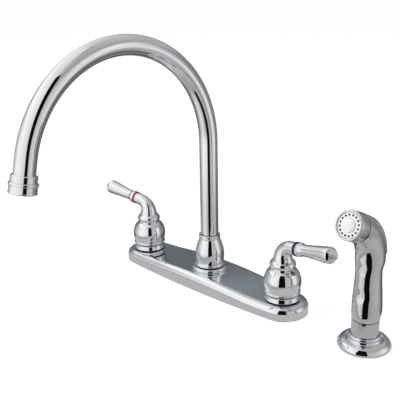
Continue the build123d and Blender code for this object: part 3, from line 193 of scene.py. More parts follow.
# Degrees from each end of the trigger, with how far its top drops there.
TRIGGER_START_DROPS = ((0.0, 1.3), (0.2, 0.75), (0.5, 0.35), (1.0, 0.1), (1.7, 0.0))
TRIGGER_END_DROPS = ((16.0, 0.0), (13.0, 0.1), (10.0, 0.3), (7.0, 0.6), (4.0, 0.9), (2.0, 1.05), (1.0, 1.15),
                     (0.5, 1.3), (0.2, 1.55), (0.0, 2.0))
PLUNGER_Z = 93.5
PLUNGER_BORE = 2.65
PLUNGER_POCKET = (4.0, 8.0)   # radius, and floor from the neck's centreline
CUTTER_TURN = 2.9             # keeps the cutter's edges off the body's own
CUTTER_OVERRUN = 1.0
CUTTER_SEGMENTS = 48
FACE_HEIGHT = 13.0            # of the spray's face, over the bend's end
JET_COUNT = 16
JET_CIRCLE = 9.0              # radius of the circle that they stand on
JET_START = 15.0
JET_RADIUS = 0.95
JET_BORE = 0.5
JET_RISE = 0.18
JET_SINK = 0.6                # how deep they reach into the face
JET_SOFT = 0.25
JET_DIP = 0.05                # of the bore's rim under the top
JET_SEGMENTS = 20
JOINT_EDGE = 12.9             # radius of the black ring in the joint behind the spray's head, painted shade in that joint
JOINT_SWELL = 0.5
JOINT_CLEARANCE = 0.1         # over the spigot
JOINT_SPAN = (-0.35, 0.75)
HEAD_RADIUS = 13.25
HEAD_BACK = 1.0               # place of its back and of its front over the bend's end
HEAD_FRONT = 13.5
HEAD_CLEARANCE = 0.15         # over the spigot
HEAD_CORNER = 0.5
HEAD_LIP = (1.1, 10)          # rounding of the front rim, and its steps
HEAD_ROLL = (1.15, 8)         # the same inside the rim
HEAD_SEAT = 2.9               # depth of the face's seat
HEAD_LINE = (0.4, 0.25)       # depth and half width of the fine turned line behind the rim
HEAD_LINE_AT = 2.2            # its distance from the front
HEAD_LINE_GUARD = 0.05        # plain band beside it


# ---------------------------------------------------------------- node helpers

class Nodes:
    """Adds nodes to one tree, and links values given as sockets."""

    def __init__(self, tree):
        self.tree = tree

    def put(self, kind, **settings):
        node = self.tree.nodes.new(kind)
        for name, value in settings.items():
            setattr(node, name, value)
        return node

    def feed(self, socket, value):
        if isinstance(value, bpy.types.NodeSocket):
            self.tree.links.new(value, socket)
        else:
            socket.default_value = value

    def math(self, operation, first, second=0.0, clamp=False):
        node = self.put("ShaderNodeMath", operation=operation, use_clamp=clamp)
        self.feed(node.inputs[0], first)
        self.feed(node.inputs[1], second)
        return node.outputs[0]

    def step(self, value, low, high):
        """0 below low and 1 above high, smooth between them."""
        node = self.put("ShaderNodeMapRange", interpolation_type="SMOOTHSTEP")
        self.feed(node.inputs["Value"], value)
        self.feed(node.inputs["From Min"], low)
        self.feed(node.inputs["From Max"], high)
        return node.outputs["Result"]

    def span(self, value, low, high):
        """A noise's 0 to 1 mapped on low to high."""
        node = self.put("ShaderNodeMapRange")
        self.feed(node.inputs["Value"], value)
        self.feed(node.inputs["From Min"], 0.25)
        self.feed(node.inputs["From Max"], 0.75)
        self.feed(node.inputs["To Min"], low)
        self.feed(node.inputs["To Max"], high)
        return node.outputs["Result"]

    def mix(self, share, first, second):
        """Number between first and second."""
        node = self.put("ShaderNodeMix", data_type="FLOAT")
        self.feed(node.inputs[0], share)
        self.feed(node.inputs[2], first)
        self.feed(node.inputs[3], second)
        return node.outputs[0]

    def blend(self, share, first, second):
        """Colour between first and second."""
        node = self.put("ShaderNodeMix", data_type="RGBA")
        self.feed(node.inputs[0], share)
        self.feed(node.inputs[6], first)
        self.feed(node.inputs[7], second)
        return node.outputs[2]

    def place(self, stretch=(1, 1, 1)):
        """Point on the object, in metres, with each axis stretched."""
        coordinates = self.put("ShaderNodeTexCoord")
        mapping = self.put("ShaderNodeMapping")
        mapping.inputs["Scale"].default_value = stretch
        self.feed(mapping.inputs["Vector"], coordinates.outputs["Object"])
        return mapping.outputs["Vector"]

    def noise(self, vector, scale, detail=2.0, roughness=0.5):
        node = self.put("ShaderNodeTexNoise")
        self.feed(node.inputs["Vector"], vector)
        self.feed(node.inputs["Scale"], scale)
        self.feed(node.inputs["Detail"], detail)
        self.feed(node.inputs["Roughness"], roughness)
        return node.outputs["Fac"]

    def spots(self, vector, scale):
        """Distance from the nearest of many scattered points."""
        node = self.put("ShaderNodeTexVoronoi")
        self.feed(node.inputs["Vector"], vector)
        self.feed(node.inputs["Scale"], scale)
        return node.outputs["Distance"]

    def bump(self, height, depth, normal=None):
        node = self.put("ShaderNodeBump")
        node.inputs["Distance"].default_value = depth
        self.feed(node.inputs["Height"], height)
        if normal is not None:
            self.feed(node.inputs["Normal"], normal)
        return node.outputs["Normal"]

    def seen(self):
        """1 on rays that show a surface, straight or in metal or glass, and 0 on the rest."""
        path = self.put("ShaderNodeLightPath")
        share = self.math("ADD", path.outputs["Is Camera Ray"], path.outputs["Is Glossy Ray"], clamp=True)
        return self.math("ADD", share, path.outputs["Is Transmission Ray"], clamp=True)


def fresh_nodes(owner):
    """Node helper of a material or world, with its tree emptied."""
    owner.use_nodes = True
    owner.node_tree.nodes.clear()
    return Nodes(owner.node_tree)


def material(name):
    """New node material, with its node helper and its principled shader."""
    made = bpy.data.materials.new(name)
    nodes = fresh_nodes(made)
    output = nodes.put("ShaderNodeOutputMaterial")
    shader = nodes.put("ShaderNodeBsdfPrincipled")
    nodes.feed(output.inputs["Surface"], shader.outputs["BSDF"])
    return made, nodes, shader


def grey(level, warmth=0.0):
    """Grey, a little warmer or colder."""
    return (level * (1 + warmth), level, level * (1 - warmth), 1.0)


# ---------------------------------------------------------------- materials of the part

def chrome(name, tone, waviness):
    """Polished chrome plate: mirror bright, with faint smears, dried water spots and hairlines."""
    made, nodes, shader = material(name)
    place = nodes.place()
    smear = nodes.noise(place, 38.0, 3.0)
    spots = nodes.spots(place, 140.0)
    ring = nodes.math("SUBTRACT", nodes.step(spots, 0.18, 0.22), nodes.step(spots, 0.25, 0.30))
    few = nodes.step(nodes.noise(place, 24.0, 1.0), 0.56, 0.66)
    dried = nodes.math("MULTIPLY", ring, few)
    hairlines = nodes.noise(nodes.place((2600, 2600, 90)), 1.0, 2.0)
    thick, thin = ((tone * red, tone * green, tone * blue, 1) for red, green, blue in CHROME_TINTS)
    nodes.feed(shader.inputs["Base Color"], nodes.blend(nodes.span(smear, 0.0, 1.0), thick, thin))
    rough = nodes.span(smear, 0.035, 0.075)
    rough = nodes.math("ADD", rough, nodes.math("MULTIPLY", dried, 0.03))
    rough = nodes.math("ADD", rough, nodes.span(hairlines, 0.0, 0.012))
    nodes.feed(shader.inputs["Roughness"], rough)
    shader.inputs["Metallic"].default_value = 1.0
    peel = nodes.bump(nodes.noise(place, 420.0, 1.0), waviness)
    nodes.feed(shader.inputs["Normal"], nodes.bump(hairlines, 2e-7, peel))
    return made


def machined(name, colour, tarnish, rough, groove):
    """Bare turned metal: fine tool rings, with a mottled tarnish."""
    made, nodes, shader = material(name)
    place = nodes.place()
    mottle = nodes.noise(place, 120.0, 4.0)
    rings = nodes.noise(nodes.place((30, 30, 3000)), 1.0, 3.0)
    tone = nodes.blend(nodes.step(mottle, 0.42, 0.68), colour, tarnish)
    nodes.feed(shader.inputs["Base Color"], tone)
    roughness = nodes.math("ADD", nodes.span(mottle, rough, rough + 0.14), nodes.span(rings, 0, 0.08))
    nodes.feed(shader.inputs["Roughness"], roughness)
    shader.inputs["Metallic"].default_value = 1.0
    nodes.feed(shader.inputs["Normal"], nodes.bump(rings, groove))
    return made


def moulded(name, colour, shade, rough, grain, specular=0.5):
    """Moulded plastic, rubber or pressed ceramic: fine grain and a faint unevenness of colour."""
    made, nodes, shader = material(name)
    place = nodes.place()
    cloud = nodes.noise(place, 60.0, 3.0)
    fine = nodes.noise(place, 2400.0, 2.0)
    nodes.feed(shader.inputs["Base Color"], nodes.blend(nodes.span(cloud, 0, 1), colour, shade))
    nodes.feed(shader.inputs["Roughness"], nodes.span(cloud, rough, rough + 0.08))
    shader.inputs["Specular IOR Level"].default_value = specular
    nodes.feed(shader.inputs["Normal"], nodes.bump(fine, grain))
    return made


def finishes():
    """Material of each of the record's slots."""
    return {
        "plate_chrome": chrome("plate_chrome_polished", 0.86, 4e-7),
        "handle_chrome": chrome("handle_chrome_polished", 0.87, 5e-7),
        "spout_chrome": chrome("spout_chrome_polished", 0.87, 4e-7),
        "spray_chrome": chrome("spray_chrome_polished", 0.77, 9e-7),
        "trim_chrome": chrome("trim_chrome_polished", 0.86, 5e-7),
        "raw_brass": machined("brass_turned", (0.72, 0.53, 0.25, 1), (0.46, 0.31, 0.13, 1), 0.22, 6e-6),
        "screw_brass": machined("brass_screw", (0.58, 0.42, 0.18, 1), (0.22, 0.14, 0.06, 1), 0.28, 4e-6),
        "plated_steel": machined("zinc_plated_steel", grey(0.62, 0.01), grey(0.46, 0.06), 0.24, 3e-6),
        "cartridge_plastic": moulded("cartridge_acetal", grey(0.78, 0.01), grey(0.72, 0.03), 0.38, 8e-6),
        "nut_plastic": moulded("nut_nylon_black", grey(0.045), grey(0.07, 0.02), 0.42, 1.2e-5),
        "ceramic": moulded("lapped_ceramic", grey(0.82, 0.03), grey(0.74, 0.05), 0.10, 1e-6),
        "seal_rubber": moulded("seal_rubber_black", grey(0.022), grey(0.04), 0.55, 1.5e-5, 0.3),
        "hot_red": moulded("index_red", (0.42, 0.008, 0.010, 1), (0.32, 0.004, 0.006, 1), 0.42, 5e-7, 0.06),
        "cold_blue": moulded("index_blue", (0.010, 0.016, 0.055, 1), (0.005, 0.008, 0.03, 1), 0.36, 2e-6,
                             0.12),
        "spray_face_plastic": moulded("spray_face_white", grey(0.90), grey(0.85, -0.01), 0.30, 1e-7, 0.3),
        "button_plastic": moulded("button_white", grey(0.90, -0.01), grey(0.86, -0.01), 0.12, 2e-8),
        "strainer_plastic": moulded("strainer_white", grey(0.74), grey(0.68, 0.01), 0.34, 6e-6),
    }


def dress(cad_nodes, materials):
    """Gives every CAD node the material of its slot."""
    for node in cad_nodes.values():
        for place in node.material_slots:
            slot = place.material.name.split(".")[0]
            place.material = materials[slot]


# ---------------------------------------------------------------- pieces

def skin(form, rings, closed=False):
    """Joins rings of points in millimetres. Both ends are capped unless the last ring meets the first."""
    loops = [[form.verts.new(Vector(point) * MM) for point in ring] for ring in rings]
    pairs = list(zip(loops, loops[1:]))
    if closed:
        pairs.append((loops[-1], loops[0]))
    for low, high in pairs:
        for index in range(len(low)):
            after = (index + 1) % len(low)
            form.faces.new((low[index], low[after], high[after], high[index]))
    if not closed:
        form.faces.new(list(reversed(loops[0])))
        form.faces.new(loops[-1])


def circle(radius, z, segments=TURN_SEGMENTS):
    """Ring of points round the Z axis."""
    turns = [2 * pi * step / segments for step in range(segments)]
    return [(radius * cos(turn), radius * sin(turn), z) for turn in turns]


def blended(points, weights):
    """Weighted sum of flat points."""
    return tuple(sum(weight * point[axis] for weight, point in zip(weights, points)) for axis in (0, 1))


def rounded(start, corner, end, steps=5):
    """Points of a soft corner from start to end."""
    points = []
    for step in range(steps + 1):
        share = step / steps
        weights = ((1 - share) ** 2, 2 * share * (1 - share), share ** 2)
        points.append(blended((start, corner, end), weights))
    return points


def smooth_line(points, steps=6):
    """Smooth line through flat points."""
    ends = [points[0]] + list(points) + [points[-1]]
    line = []
    for four in zip(ends, ends[1:], ends[2:], ends[3:]):
        for step in range(steps):
            t = step / steps
            weights = (-t + 2 * t ** 2 - t ** 3, 2 - 5 * t ** 2 + 3 * t ** 3, t + 4 * t ** 2 - 3 * t ** 3,
                       t ** 3 - t ** 2)
            line.append(blended(four, [weight / 2 for weight in weights]))
    return line + [points[-1]]


def mesh_of(name, form):
    """Mesh from a form, which ends with it."""
    mesh = bpy.data.meshes.new(name)
    form.to_mesh(mesh)
    form.free()
    return mesh


def add_object(name, data):
    """Object of a mesh, lamp or camera, in the scene."""
    thing = bpy.data.objects.new(name, data)
    bpy.context.scene.collection.objects.link(thing)
    return thing


def smooth(thing):
    """Shades a piece smooth, with its sharp edges crisp."""
    thing.data.shade_smooth()
    thing.data.set_sharp_from_angle(angle=SHARP)


def piece(name, form, place, slot, body, replaced=()):
    """Piece from a form: laid in place, dressed, tied to its body, and with the CAD nodes that it replaces
    hidden.
    """
    bmesh.ops.transform(form, matrix=place, verts=form.verts)
    bmesh.ops.remove_doubles(form, verts=form.verts, dist=MERGE)
    bmesh.ops.recalc_face_normals(form, faces=form.faces)
    thing = add_object(name, mesh_of(name, form))
    thing.data.materials.append(FINISHES[slot])
    smooth(thing)
    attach(thing, body)
    if replaced:
        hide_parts(*replaced)
    return thing


def shift(x, y, z):
    """Frame moved by millimetres."""
    return Matrix.Translation(Vector((x, y, z)) * MM)


def turn_about(axis, degrees):
    """Frame turned about one of its axes."""
    return Matrix.Rotation(radians(degrees), 4, axis)


def laid(place, points):
    """A ring's points moved by a frame, still in millimetres."""
    return [(place @ (Vector(point) * MM)) / MM for point in points]


def lathe(name, outline, place, slot, body, replaced=()):
    """Piece turned about its own Z axis from a closed outline of (radius, height)."""
    form = bmesh.new()
    skin(form, [circle(radius, z) for radius, z in outline], closed=True)
    piece(name, form, place, slot, body, replaced)


def foot_ring(side, x):
    """Flared ring under a handle, raised on the black ring of painted contact shadow."""
    base = DECK_PLATE_TOP + FOOT_SHADE_HEIGHT
    foot = rounded((RING_FOOT_RADIUS - RING_CORNER, base), (RING_FOOT_RADIUS, base),
                   (RING_FOOT_RADIUS, base + RING_CORNER))
    low, high = base + RING_FLARE_ENDS[0], RING_TOP - RING_FLARE_ENDS[1]
    flare = []
    for step in range(1, RING_FLARE_STEPS):
        share = step / RING_FLARE_STEPS
        radius = RING_TOP_RADIUS + (RING_FOOT_RADIUS - RING_TOP_RADIUS) * (1 - share) ** RING_FLARE
        flare.append((radius, low + share * (high - low)))
    width, height = RING_LIP
    lip = rounded((RING_TOP_RADIUS, RING_TOP - height), (RING_TOP_RADIUS, RING_TOP),
                  (RING_TOP_RADIUS - width, RING_TOP))
    outline = [(VALVE_BORE, base)] + foot + flare + lip + [(VALVE_BORE, RING_TOP)]
    lathe(side + "_foot_ring", outline, shift(x, 0, 0), "trim_chrome", "faucet_base", (side + "_base_ring",))


def painted_shade_ring(name, x, bore, edge, swell, low, high):
    """Black ring round a valve, swelling out between what presses on it: painted shade in the gap that it
    fills.
    """
    rim = rounded((edge, low), (edge + swell, (low + high) / 2), (edge, high))
    outline = [(bore, low)] + rim + [(bore, high)]
    lathe(name, outline, shift(x, 0, 0), "seal_rubber", "faucet_base")


def foot_contact_shadow(side, x):
    """Black ring that the foot ring stands on: painted contact shadow under the ring."""
    painted_shade_ring(side + "_foot_contact_shadow", x, VALVE_BORE, RING_FOOT_RADIUS - FOOT_SHADE_INSET, FOOT_SHADE_SWELL,
                DECK_PLATE_TOP, DECK_PLATE_TOP + FOOT_SHADE_HEIGHT)


def gap_shadow_ring(side, x):
    """Black ring in the gap between the ring and the handle's bell: painted shade in that gap."""
    painted_shade_ring(side + "_gap_shadow_ring", x, GAP_SHADE_BORE, RING_TOP_RADIUS - GAP_SHADE_INSET, GAP_SHADE_SWELL,
                RING_TOP, BELL_BASE - GAP_SHADE_CLEARANCE)


def lever_place(side, x):
    """Frame of a lever at rest: its origin at the elbow's end and its Z axis along the lever."""
    elbow = shift(x, 0, 0) @ turn_about("Z", LEVER_HEADING[side]) @ shift(*ELBOW_END)
    return elbow @ turn_about("Y", LEVER_TURN)


def index_band(side, x, slot):
    """Coloured ring between elbow and grip, a little proud of both."""
    low, high = INDEX_AT, INDEX_AT + INDEX_LENGTH
    edge = INDEX_RADIUS
    width, height = INDEX_CORNER
    outline = [(STUD_RADIUS, low)]
    outline += rounded((edge - width, low), (edge, low), (edge, low + height))
    outline += rounded((edge, high - height), (edge, high), (edge - width, high))
    outline += [(STUD_RADIUS, high)]
    place = lever_place(side, x)
    lathe(side + "_index_band", outline, place, slot, side + "_lever", (side + "_index_ring",))


def grip(side, x):
    """Lever grip: bead, waist, bulb and a nose of turned steps."""
    line = smooth_line(GRIP_PROFILE) + smooth_line(GRIP_NOSE, 4)
    form = bmesh.new()
    skin(form, [circle(radius, along) for along, radius in line])
    place = lever_place(side, x) @ shift(0, 0, GRIP_START)
    piece(side + "_grip", form, place, "handle_chrome", side + "_lever", (side + "_lever_grip",))


def socket_screw(side, x):
    """Set screw with a bevelled end, thread turns and a hexagonal socket."""
    start, end = SCREW_SPAN
    pitch, depth, rise = SCREW_THREAD
    outline = [(SCREW_RADIUS - SCREW_TIP, start)]
    for turn in range(int((end - start - SCREW_PLAIN) / pitch)):
        root = start + SCREW_LEAD + pitch * turn
        outline += [(SCREW_RADIUS - depth, root), (SCREW_RADIUS, root + rise)]
    outline += [(SCREW_RADIUS, end - SCREW_BEVEL), (SCREW_RADIUS - SCREW_BEVEL, end)]
    rings = [circle(radius, z, SCREW_SEGMENTS) for radius, z in outline]

    corner, socket_depth = SCREW_SOCKET
    hexagon = []
    for step in range(SCREW_SEGMENTS):
        turn = 360 * step / SCREW_SEGMENTS
        reach = corner * cos(radians(30)) / cos(radians(turn % 60 - 30))
        hexagon.append((reach * cos(radians(turn)), reach * sin(radians(turn))))
    rings += [[(*point, z) for point in hexagon] for z in (end, end - socket_depth)]
    form = bmesh.new()
    skin(form, rings)
    place = shift(x, 0, SCREW_Z) @ turn_about("Z", LEVER_HEADING[side]) @ turn_about("Y", 90)
    piece(side + "_socket_screw", form, place, "screw_brass", side + "_lever", (side + "_set_screw",))


def spray_place():
    """Frame of the spray, its Z axis up through the holder."""
    return shift(*SPRAY_PLACE, 0) @ turn_about("Z", SPRAY_SWING)


def bend_place(turn):
    """Frame on the spray's centreline, a number of degrees round its bend, Z along the line."""
    centre = (0, SPRAY_NECK_BACK - BEND_RADIUS, BEND_BASE)
    return shift(*centre) @ turn_about("X", turn) @ shift(0, BEND_RADIUS, 0)


def head_place():
    """Frame at the bend's end, where the head sits."""
    return spray_place() @ bend_place(BEND_TURN)


def ease(share):
    """0 to 1, slow at both ends."""
    share = min(max(share, 0), 1)
    return share * share * (3 - 2 * share)


def eased(z, places):
    """Value at a height, from places of height and value, and the last value above them."""
    for (low, first), (high, second) in zip(places, places[1:]):
        if low <= z <= high:
            return first + ease((z - low) / (high - low)) * (second - first)
    return places[-1][1]


def grip_radius(z):
    """The grip's round part: foot, swell, waist and neck."""
    if z >= SPRAY_SWELL[0]:
        return eased(z, (SPRAY_SWELL, SPRAY_WAIST, SPRAY_NECK))
    share = (z - SPRAY_FOOT[0]) / (SPRAY_SWELL[0] - SPRAY_FOOT[0])
    return SPRAY_FOOT[1] + sin(share * pi / 2) * (SPRAY_SWELL[1] - SPRAY_FOOT[1])


def finger_groove(z, degrees):
    """Depth of the finger grooves at a height and at an angle from the front."""
    if abs(degrees) >= FINGER_SPREAD:
        return 0.0
    across = cos(degrees / FINGER_SPREAD * pi / 2) ** 2
    along = sum(cos((z - at) / half * pi / 2) ** 2 for at, half in FINGER_GROOVES if abs(z - at) < half)
    return FINGER_DEPTH * across * along


def section_turns():
    """Angles round a section from the back, in two runs: over the body, and over the recess's floor."""
    edge = asin(RECESS_HALF_WIDTH / SPRAY_NECK[1])
    body_steps, floor_steps = SPRAY_STEPS
    body = [edge + (2 * pi - 2 * edge) * step / body_steps for step in range(body_steps + 1)]
    floor = [-edge + 2 * edge * step / floor_steps for step in range(floor_steps + 1)]
    return body, floor


def arc(radius, turns):
    """Points round the spray's line, by their angles from its back."""
    return [(-radius * sin(turn), radius * cos(turn), 0) for turn in turns]


def round_section(radius):
    """Plain round ring of the body."""
    body, floor = section_turns()
    return arc(radius, body + floor)


def grip_section(radius, z):
    """Ring of the grip at a height, with its swell to the back and its finger grooves."""
    body, floor = section_turns()
    points = []
    for turn in body + floor:
        from_front = (turn * 180 / pi) % 360 - 180
        swell = eased(z, SPRAY_BACK_SWELL) * max(cos(turn), 0) ** SPRAY_BACK_FADE
        reach = radius + (swell - finger_groove(z, from_front))
        points += arc(reach, [turn])
    return points


def recessed_section():
    """Ring of the neck where the trigger's recess is cut into its back."""
    body, floor = section_turns()
    widening = asin(RECESS_HALF_WIDTH / RECESS_FLOOR) / floor[-1]
    return arc(SPRAY_NECK[1], body) + arc(RECESS_FLOOR, [turn * widening for turn in floor])


def foot_rings():
    """The body's lower end: its bore, the spigot that enters the collar, and the shoulder over it."""
    foot_z, foot_radius = SPRAY_FOOT
    spigot_radius, spigot_z = FOOT_SPIGOT
    outline = ((WATERWAY_RADIUS, foot_z), (FOOT_BORE, foot_z), (FOOT_BORE, spigot_z),
               (spigot_radius, spigot_z), (spigot_radius, foot_z), (foot_radius - FOOT_BEVEL[0], foot_z))
    return [laid(shift(0, 0, z), round_section(radius)) for radius, z in outline]


def grip_rings():
    """The grip, leaning back into the neck's line."""
    rings = []
    z = SPRAY_FOOT[0] + FOOT_BEVEL[1]
    while z < SPRAY_NECK[0]:
        lean = SPRAY_NECK_BACK * ease((z - SPRAY_WAIST[0]) / (SPRAY_NECK[0] - SPRAY_WAIST[0]))
        rings.append(laid(shift(0, lean, z), grip_section(grip_radius(z), z)))
        z += SPRAY_RING_GAP
    return rings


def neck_rings():
    """The neck's bend with the trigger's recess in its back, and the spigot that the head sits on."""
    neck = SPRAY_NECK[1]
    first, last = RECESS
    rings = [laid(bend_place(0), grip_section(neck, BEND_BASE))]
    rings.append(laid(bend_place(first), round_section(neck)))
    for step in range(RECESS_STEPS + 1):
        turn = first + (last - first) * step / RECESS_STEPS
        rings.append(laid(bend_place(turn), recessed_section()))
    bevel_width, bevel_turn = NECK_BEVEL
    for turn in (last, BEND_TURN - bevel_turn):
        rings.append(laid(bend_place(turn), round_section(neck)))
    spigot_radius, spigot_length = HEAD_SPIGOT
    for radius, z in ((neck - bevel_width, 0), (spigot_radius, 0), (spigot_radius, spigot_length),
                      (WATERWAY_RADIUS, spigot_length)):
        rings.append(laid(bend_place(BEND_TURN) @ shift(0, 0, z), round_section(radius)))
    return rings


def spray_shell():
    """The spray's grip and neck, hollow for the water, with its finger grooves and the trigger's recess."""
    rings = foot_rings() + grip_rings() + neck_rings()
    for step in range(WATERWAY_STEPS + 1):
        turn = BEND_TURN * (1 - step / WATERWAY_STEPS)
        rings.append(laid(bend_place(turn), round_section(WATERWAY_RADIUS)))
    form = bmesh.new()
    skin(form, rings, closed=True)
    shell = piece("spray_shell", form, spray_place(), "spray_chrome", "spray", ("spray_body",))
    cut(shell, spray_cuts())
    smooth(shell)


def bar(steps, place):
    """Round cutter along its own Z axis, from its steps of radius and height."""
    form = bmesh.new()
    skin(form, [circle(radius, z, CUTTER_SEGMENTS) for radius, z in steps])
    return cutter(form, place)


def cutter(form, place):
    """Object that only cuts, from a form at a place on the spray."""
    bmesh.ops.transform(form, matrix=spray_place() @ place, verts=form.verts)
    bmesh.ops.recalc_face_normals(form, faces=form.faces)
    return bpy.data.objects.new("cutter", mesh_of("cutter", form))


def spray_cuts():
    """What is cut from the spray's neck: the plunger's hole and pocket, the hinge's slot and pin hole."""
    reach = SPRAY_NECK[1] + CUTTER_OVERRUN
    pocket, floor = PLUNGER_POCKET
    back = shift(0, SPRAY_NECK_BACK, PLUNGER_Z) @ turn_about("X", -90) @ turn_about("Z", CUTTER_TURN)
    plunger_hole = bar(((PLUNGER_BORE, 0), (PLUNGER_BORE, floor), (pocket, floor), (pocket, reach)), back)

    width, length = (size / 2 for size in HINGE_SLOT)
    corners = ((-width, -length), (width, -length), (width, length), (-width, length))
    slot = bmesh.new()
    skin(slot, [[(x, depth, z) for x, z in corners] for depth in (HINGE_SLOT_FLOOR, reach)])

    radius, length = HINGE_PIN
    across = bend_place(HINGE_TURN) @ shift(0, HINGE_HEIGHT, 0) @ turn_about("Y", 90)
    pin_hole = bar(((radius, -length / 2), (radius, length / 2)), across)
    return [plunger_hole, cutter(slot, bend_place(HINGE_TURN)), pin_hole]


def cut(thing, tools):
    """Cuts each tool from a piece and keeps the result as its mesh."""
    for tool in tools:
        bpy.context.scene.collection.objects.link(tool)
        change = thing.modifiers.new("cut", "BOOLEAN")
        change.operation = "DIFFERENCE"
        change.solver = "EXACT"
        change.object = tool
    bpy.context.view_layer.update()
    result = bpy.data.meshes.new_from_object(thing.evaluated_get(bpy.context.evaluated_depsgraph_get()))
    thing.modifiers.clear()
    thing.data = result
    for tool in tools:
        bpy.data.objects.remove(tool)


def lever_section(outer):
    """Ring of the trigger's strip: part of a tube with soft long edges."""
    half = TRIGGER_HALF_WIDTH
    soft, corner_depth, end_depth = TRIGGER_SOFT
    spread = asin((half - soft) / outer)
    wall = asin(half / TRIGGER_FLOOR)
    shares = [2 * step / TRIGGER_STEPS - 1 for step in range(TRIGGER_STEPS + 1)]
    top = [(outer * sin(spread * share), outer * cos(spread * share)) for share in shares]
    edge = outer * cos(spread)
    side = rounded(top[-1], (half, edge - corner_depth), (half, edge - end_depth))[1:]
    inner = [(-TRIGGER_FLOOR * sin(wall * share), TRIGGER_FLOOR * cos(wall * share)) for share in shares]
    other_side = [(-x, y) for x, y in reversed(side)]
    return [(x, y, 0) for x, y in top + side + inner + other_side]


def lug_rings():
    """The trigger's lug on its pin: round below, straight sided above, up into the strip."""
    radius, half, top = HINGE_LUG
    outline, hole = [], []
    for step in range(HINGE_LUG_SEGMENTS):
        turn = 2 * pi * step / HINGE_LUG_SEGMENTS
        up, along = cos(turn), sin(turn)
        reach = radius
        if up > TINY:
            reach = min((top - HINGE_HEIGHT) / up, radius / max(abs(along), TINY))
        outline.append((HINGE_HEIGHT + reach * up, reach * along))
        hole.append((HINGE_HEIGHT + HINGE_LUG_BORE * up, HINGE_LUG_BORE * along))
    sides = ((outline, -half), (outline, half), (hole, half), (hole, -half))
    return [[(x, y, z) for y, z in line] for line, x in sides]


def trigger_lever():
    """Thumb lever over the neck: flush at its hinge, soft at its free end, with a lug on the pin."""
    first, last = TRIGGER_SPAN
    drops = [(first + along, drop) for along, drop in TRIGGER_START_DROPS]
    turn = first + TRIGGER_PLAIN_START
    while turn < last - TRIGGER_END_DROPS[0][0]:
        drops.append((turn, 0.0))
        turn += TRIGGER_RING_GAP
    drops += [(last - along, drop) for along, drop in TRIGGER_END_DROPS]
    form = bmesh.new()
    own = shift(0, *TRIGGER_SHIFT)
    skin(form, [laid(own @ bend_place(turn), lever_section(TRIGGER_OUTER - drop)) for turn, drop in drops])
    skin(form, [laid(bend_place(HINGE_TURN), ring) for ring in lug_rings()], closed=True)
    piece("trigger_lever", form, spray_place(), "spray_chrome", "spray_trigger", ("spray_trigger",))


def spray_jets():
    """Rubber nozzles in the face's holes."""
    base, top = FACE_HEIGHT - JET_SINK, FACE_HEIGHT + JET_RISE
    outline = [(JET_BORE, base), (JET_RADIUS, base)]
    outline += rounded((JET_RADIUS, FACE_HEIGHT), (JET_RADIUS, top), (JET_RADIUS - JET_SOFT, top), 3)
    outline += [(JET_BORE, top - JET_DIP)]
    form = bmesh.new()
    for index in range(JET_COUNT):
        turn = radians(JET_START + 360 * index / JET_COUNT)
        place = shift(JET_CIRCLE * cos(turn), JET_CIRCLE * sin(turn), 0)
        skin(form, [laid(place, circle(radius, z, JET_SEGMENTS)) for radius, z in outline], closed=True)
    piece("spray_jets", form, head_place(), "seal_rubber", "spray")


def spray_head():
    """Head ring with a full round lip and a fine turned line behind it."""
    edge, back, front = HEAD_RADIUS, HEAD_BACK, HEAD_FRONT
    bore = HEAD_SPIGOT[0] + HEAD_CLEARANCE
    line = front - HEAD_LINE_AT
    depth, half = HEAD_LINE
    outline = [(bore, back)]
    outline += rounded((edge - HEAD_CORNER, back), (edge, back), (edge, back + HEAD_CORNER))
    outline += [(edge, line - half - HEAD_LINE_GUARD)]
    outline += rounded((edge, line - half), (edge - depth, line), (edge, line + half))
    lip, lip_steps = HEAD_LIP
    for step in range(lip_steps, -1, -1):
        turn = pi / 2 * step / lip_steps
        outline.append((edge - lip * (1 - sin(turn)), front - lip * (1 - cos(turn))))
    roll, roll_steps = HEAD_ROLL
    for step in range(1, roll_steps + 1):
        turn = pi / 2 * step / roll_steps
        outline.append((edge - lip - roll * sin(turn), front - roll * (1 - cos(turn))))
    outline += [(edge - lip - roll, front - HEAD_SEAT), (bore, front - HEAD_SEAT)]
    lathe("spray_head", outline, head_place(), "spray_chrome", "spray", ("spray_head_ring",))


def spray_joint_shadow():
    """Black ring in the joint between the spray's neck and its head: painted shade in that joint."""
    low, high = JOINT_SPAN
    bore = HEAD_SPIGOT[0] + JOINT_CLEARANCE
    rim = rounded((JOINT_EDGE, low), (JOINT_EDGE + JOINT_SWELL, 0), (JOINT_EDGE, high))
    lathe("spray_joint_shadow", [(bore, low)] + rim + [(bore, high)], head_place(), "seal_rubber", "spray")


def build_pieces():
    for side, x, slot in (("hot", -HANDLE_X, "hot_red"), ("cold", HANDLE_X, "cold_blue")):
        foot_ring(side, x)
        foot_contact_shadow(side, x)
        gap_shadow_ring(side, x)
        index_band(side, x, slot)
        grip(side, x)
        socket_screw(side, x)
    spray_shell()
    trigger_lever()
    spray_jets()
    spray_head()
    spray_joint_shadow()


# ---------------------------------------------------------------- stage

def glowing(name, level, tint=(1, 1, 1, 1)):
    """Material that shows one level of light, given as a number or worked out by a function."""
    made = bpy.data.materials.new(name)
    nodes = fresh_nodes(made)
    output = nodes.put("ShaderNodeOutputMaterial")
    glow = nodes.put("ShaderNodeEmission")
    glow.inputs["Color"].default_value = tint
    nodes.feed(glow.inputs["Strength"], level(nodes) if callable(level) else level)
    nodes.feed(output.inputs["Surface"], glow.outputs["Emission"])
    return made


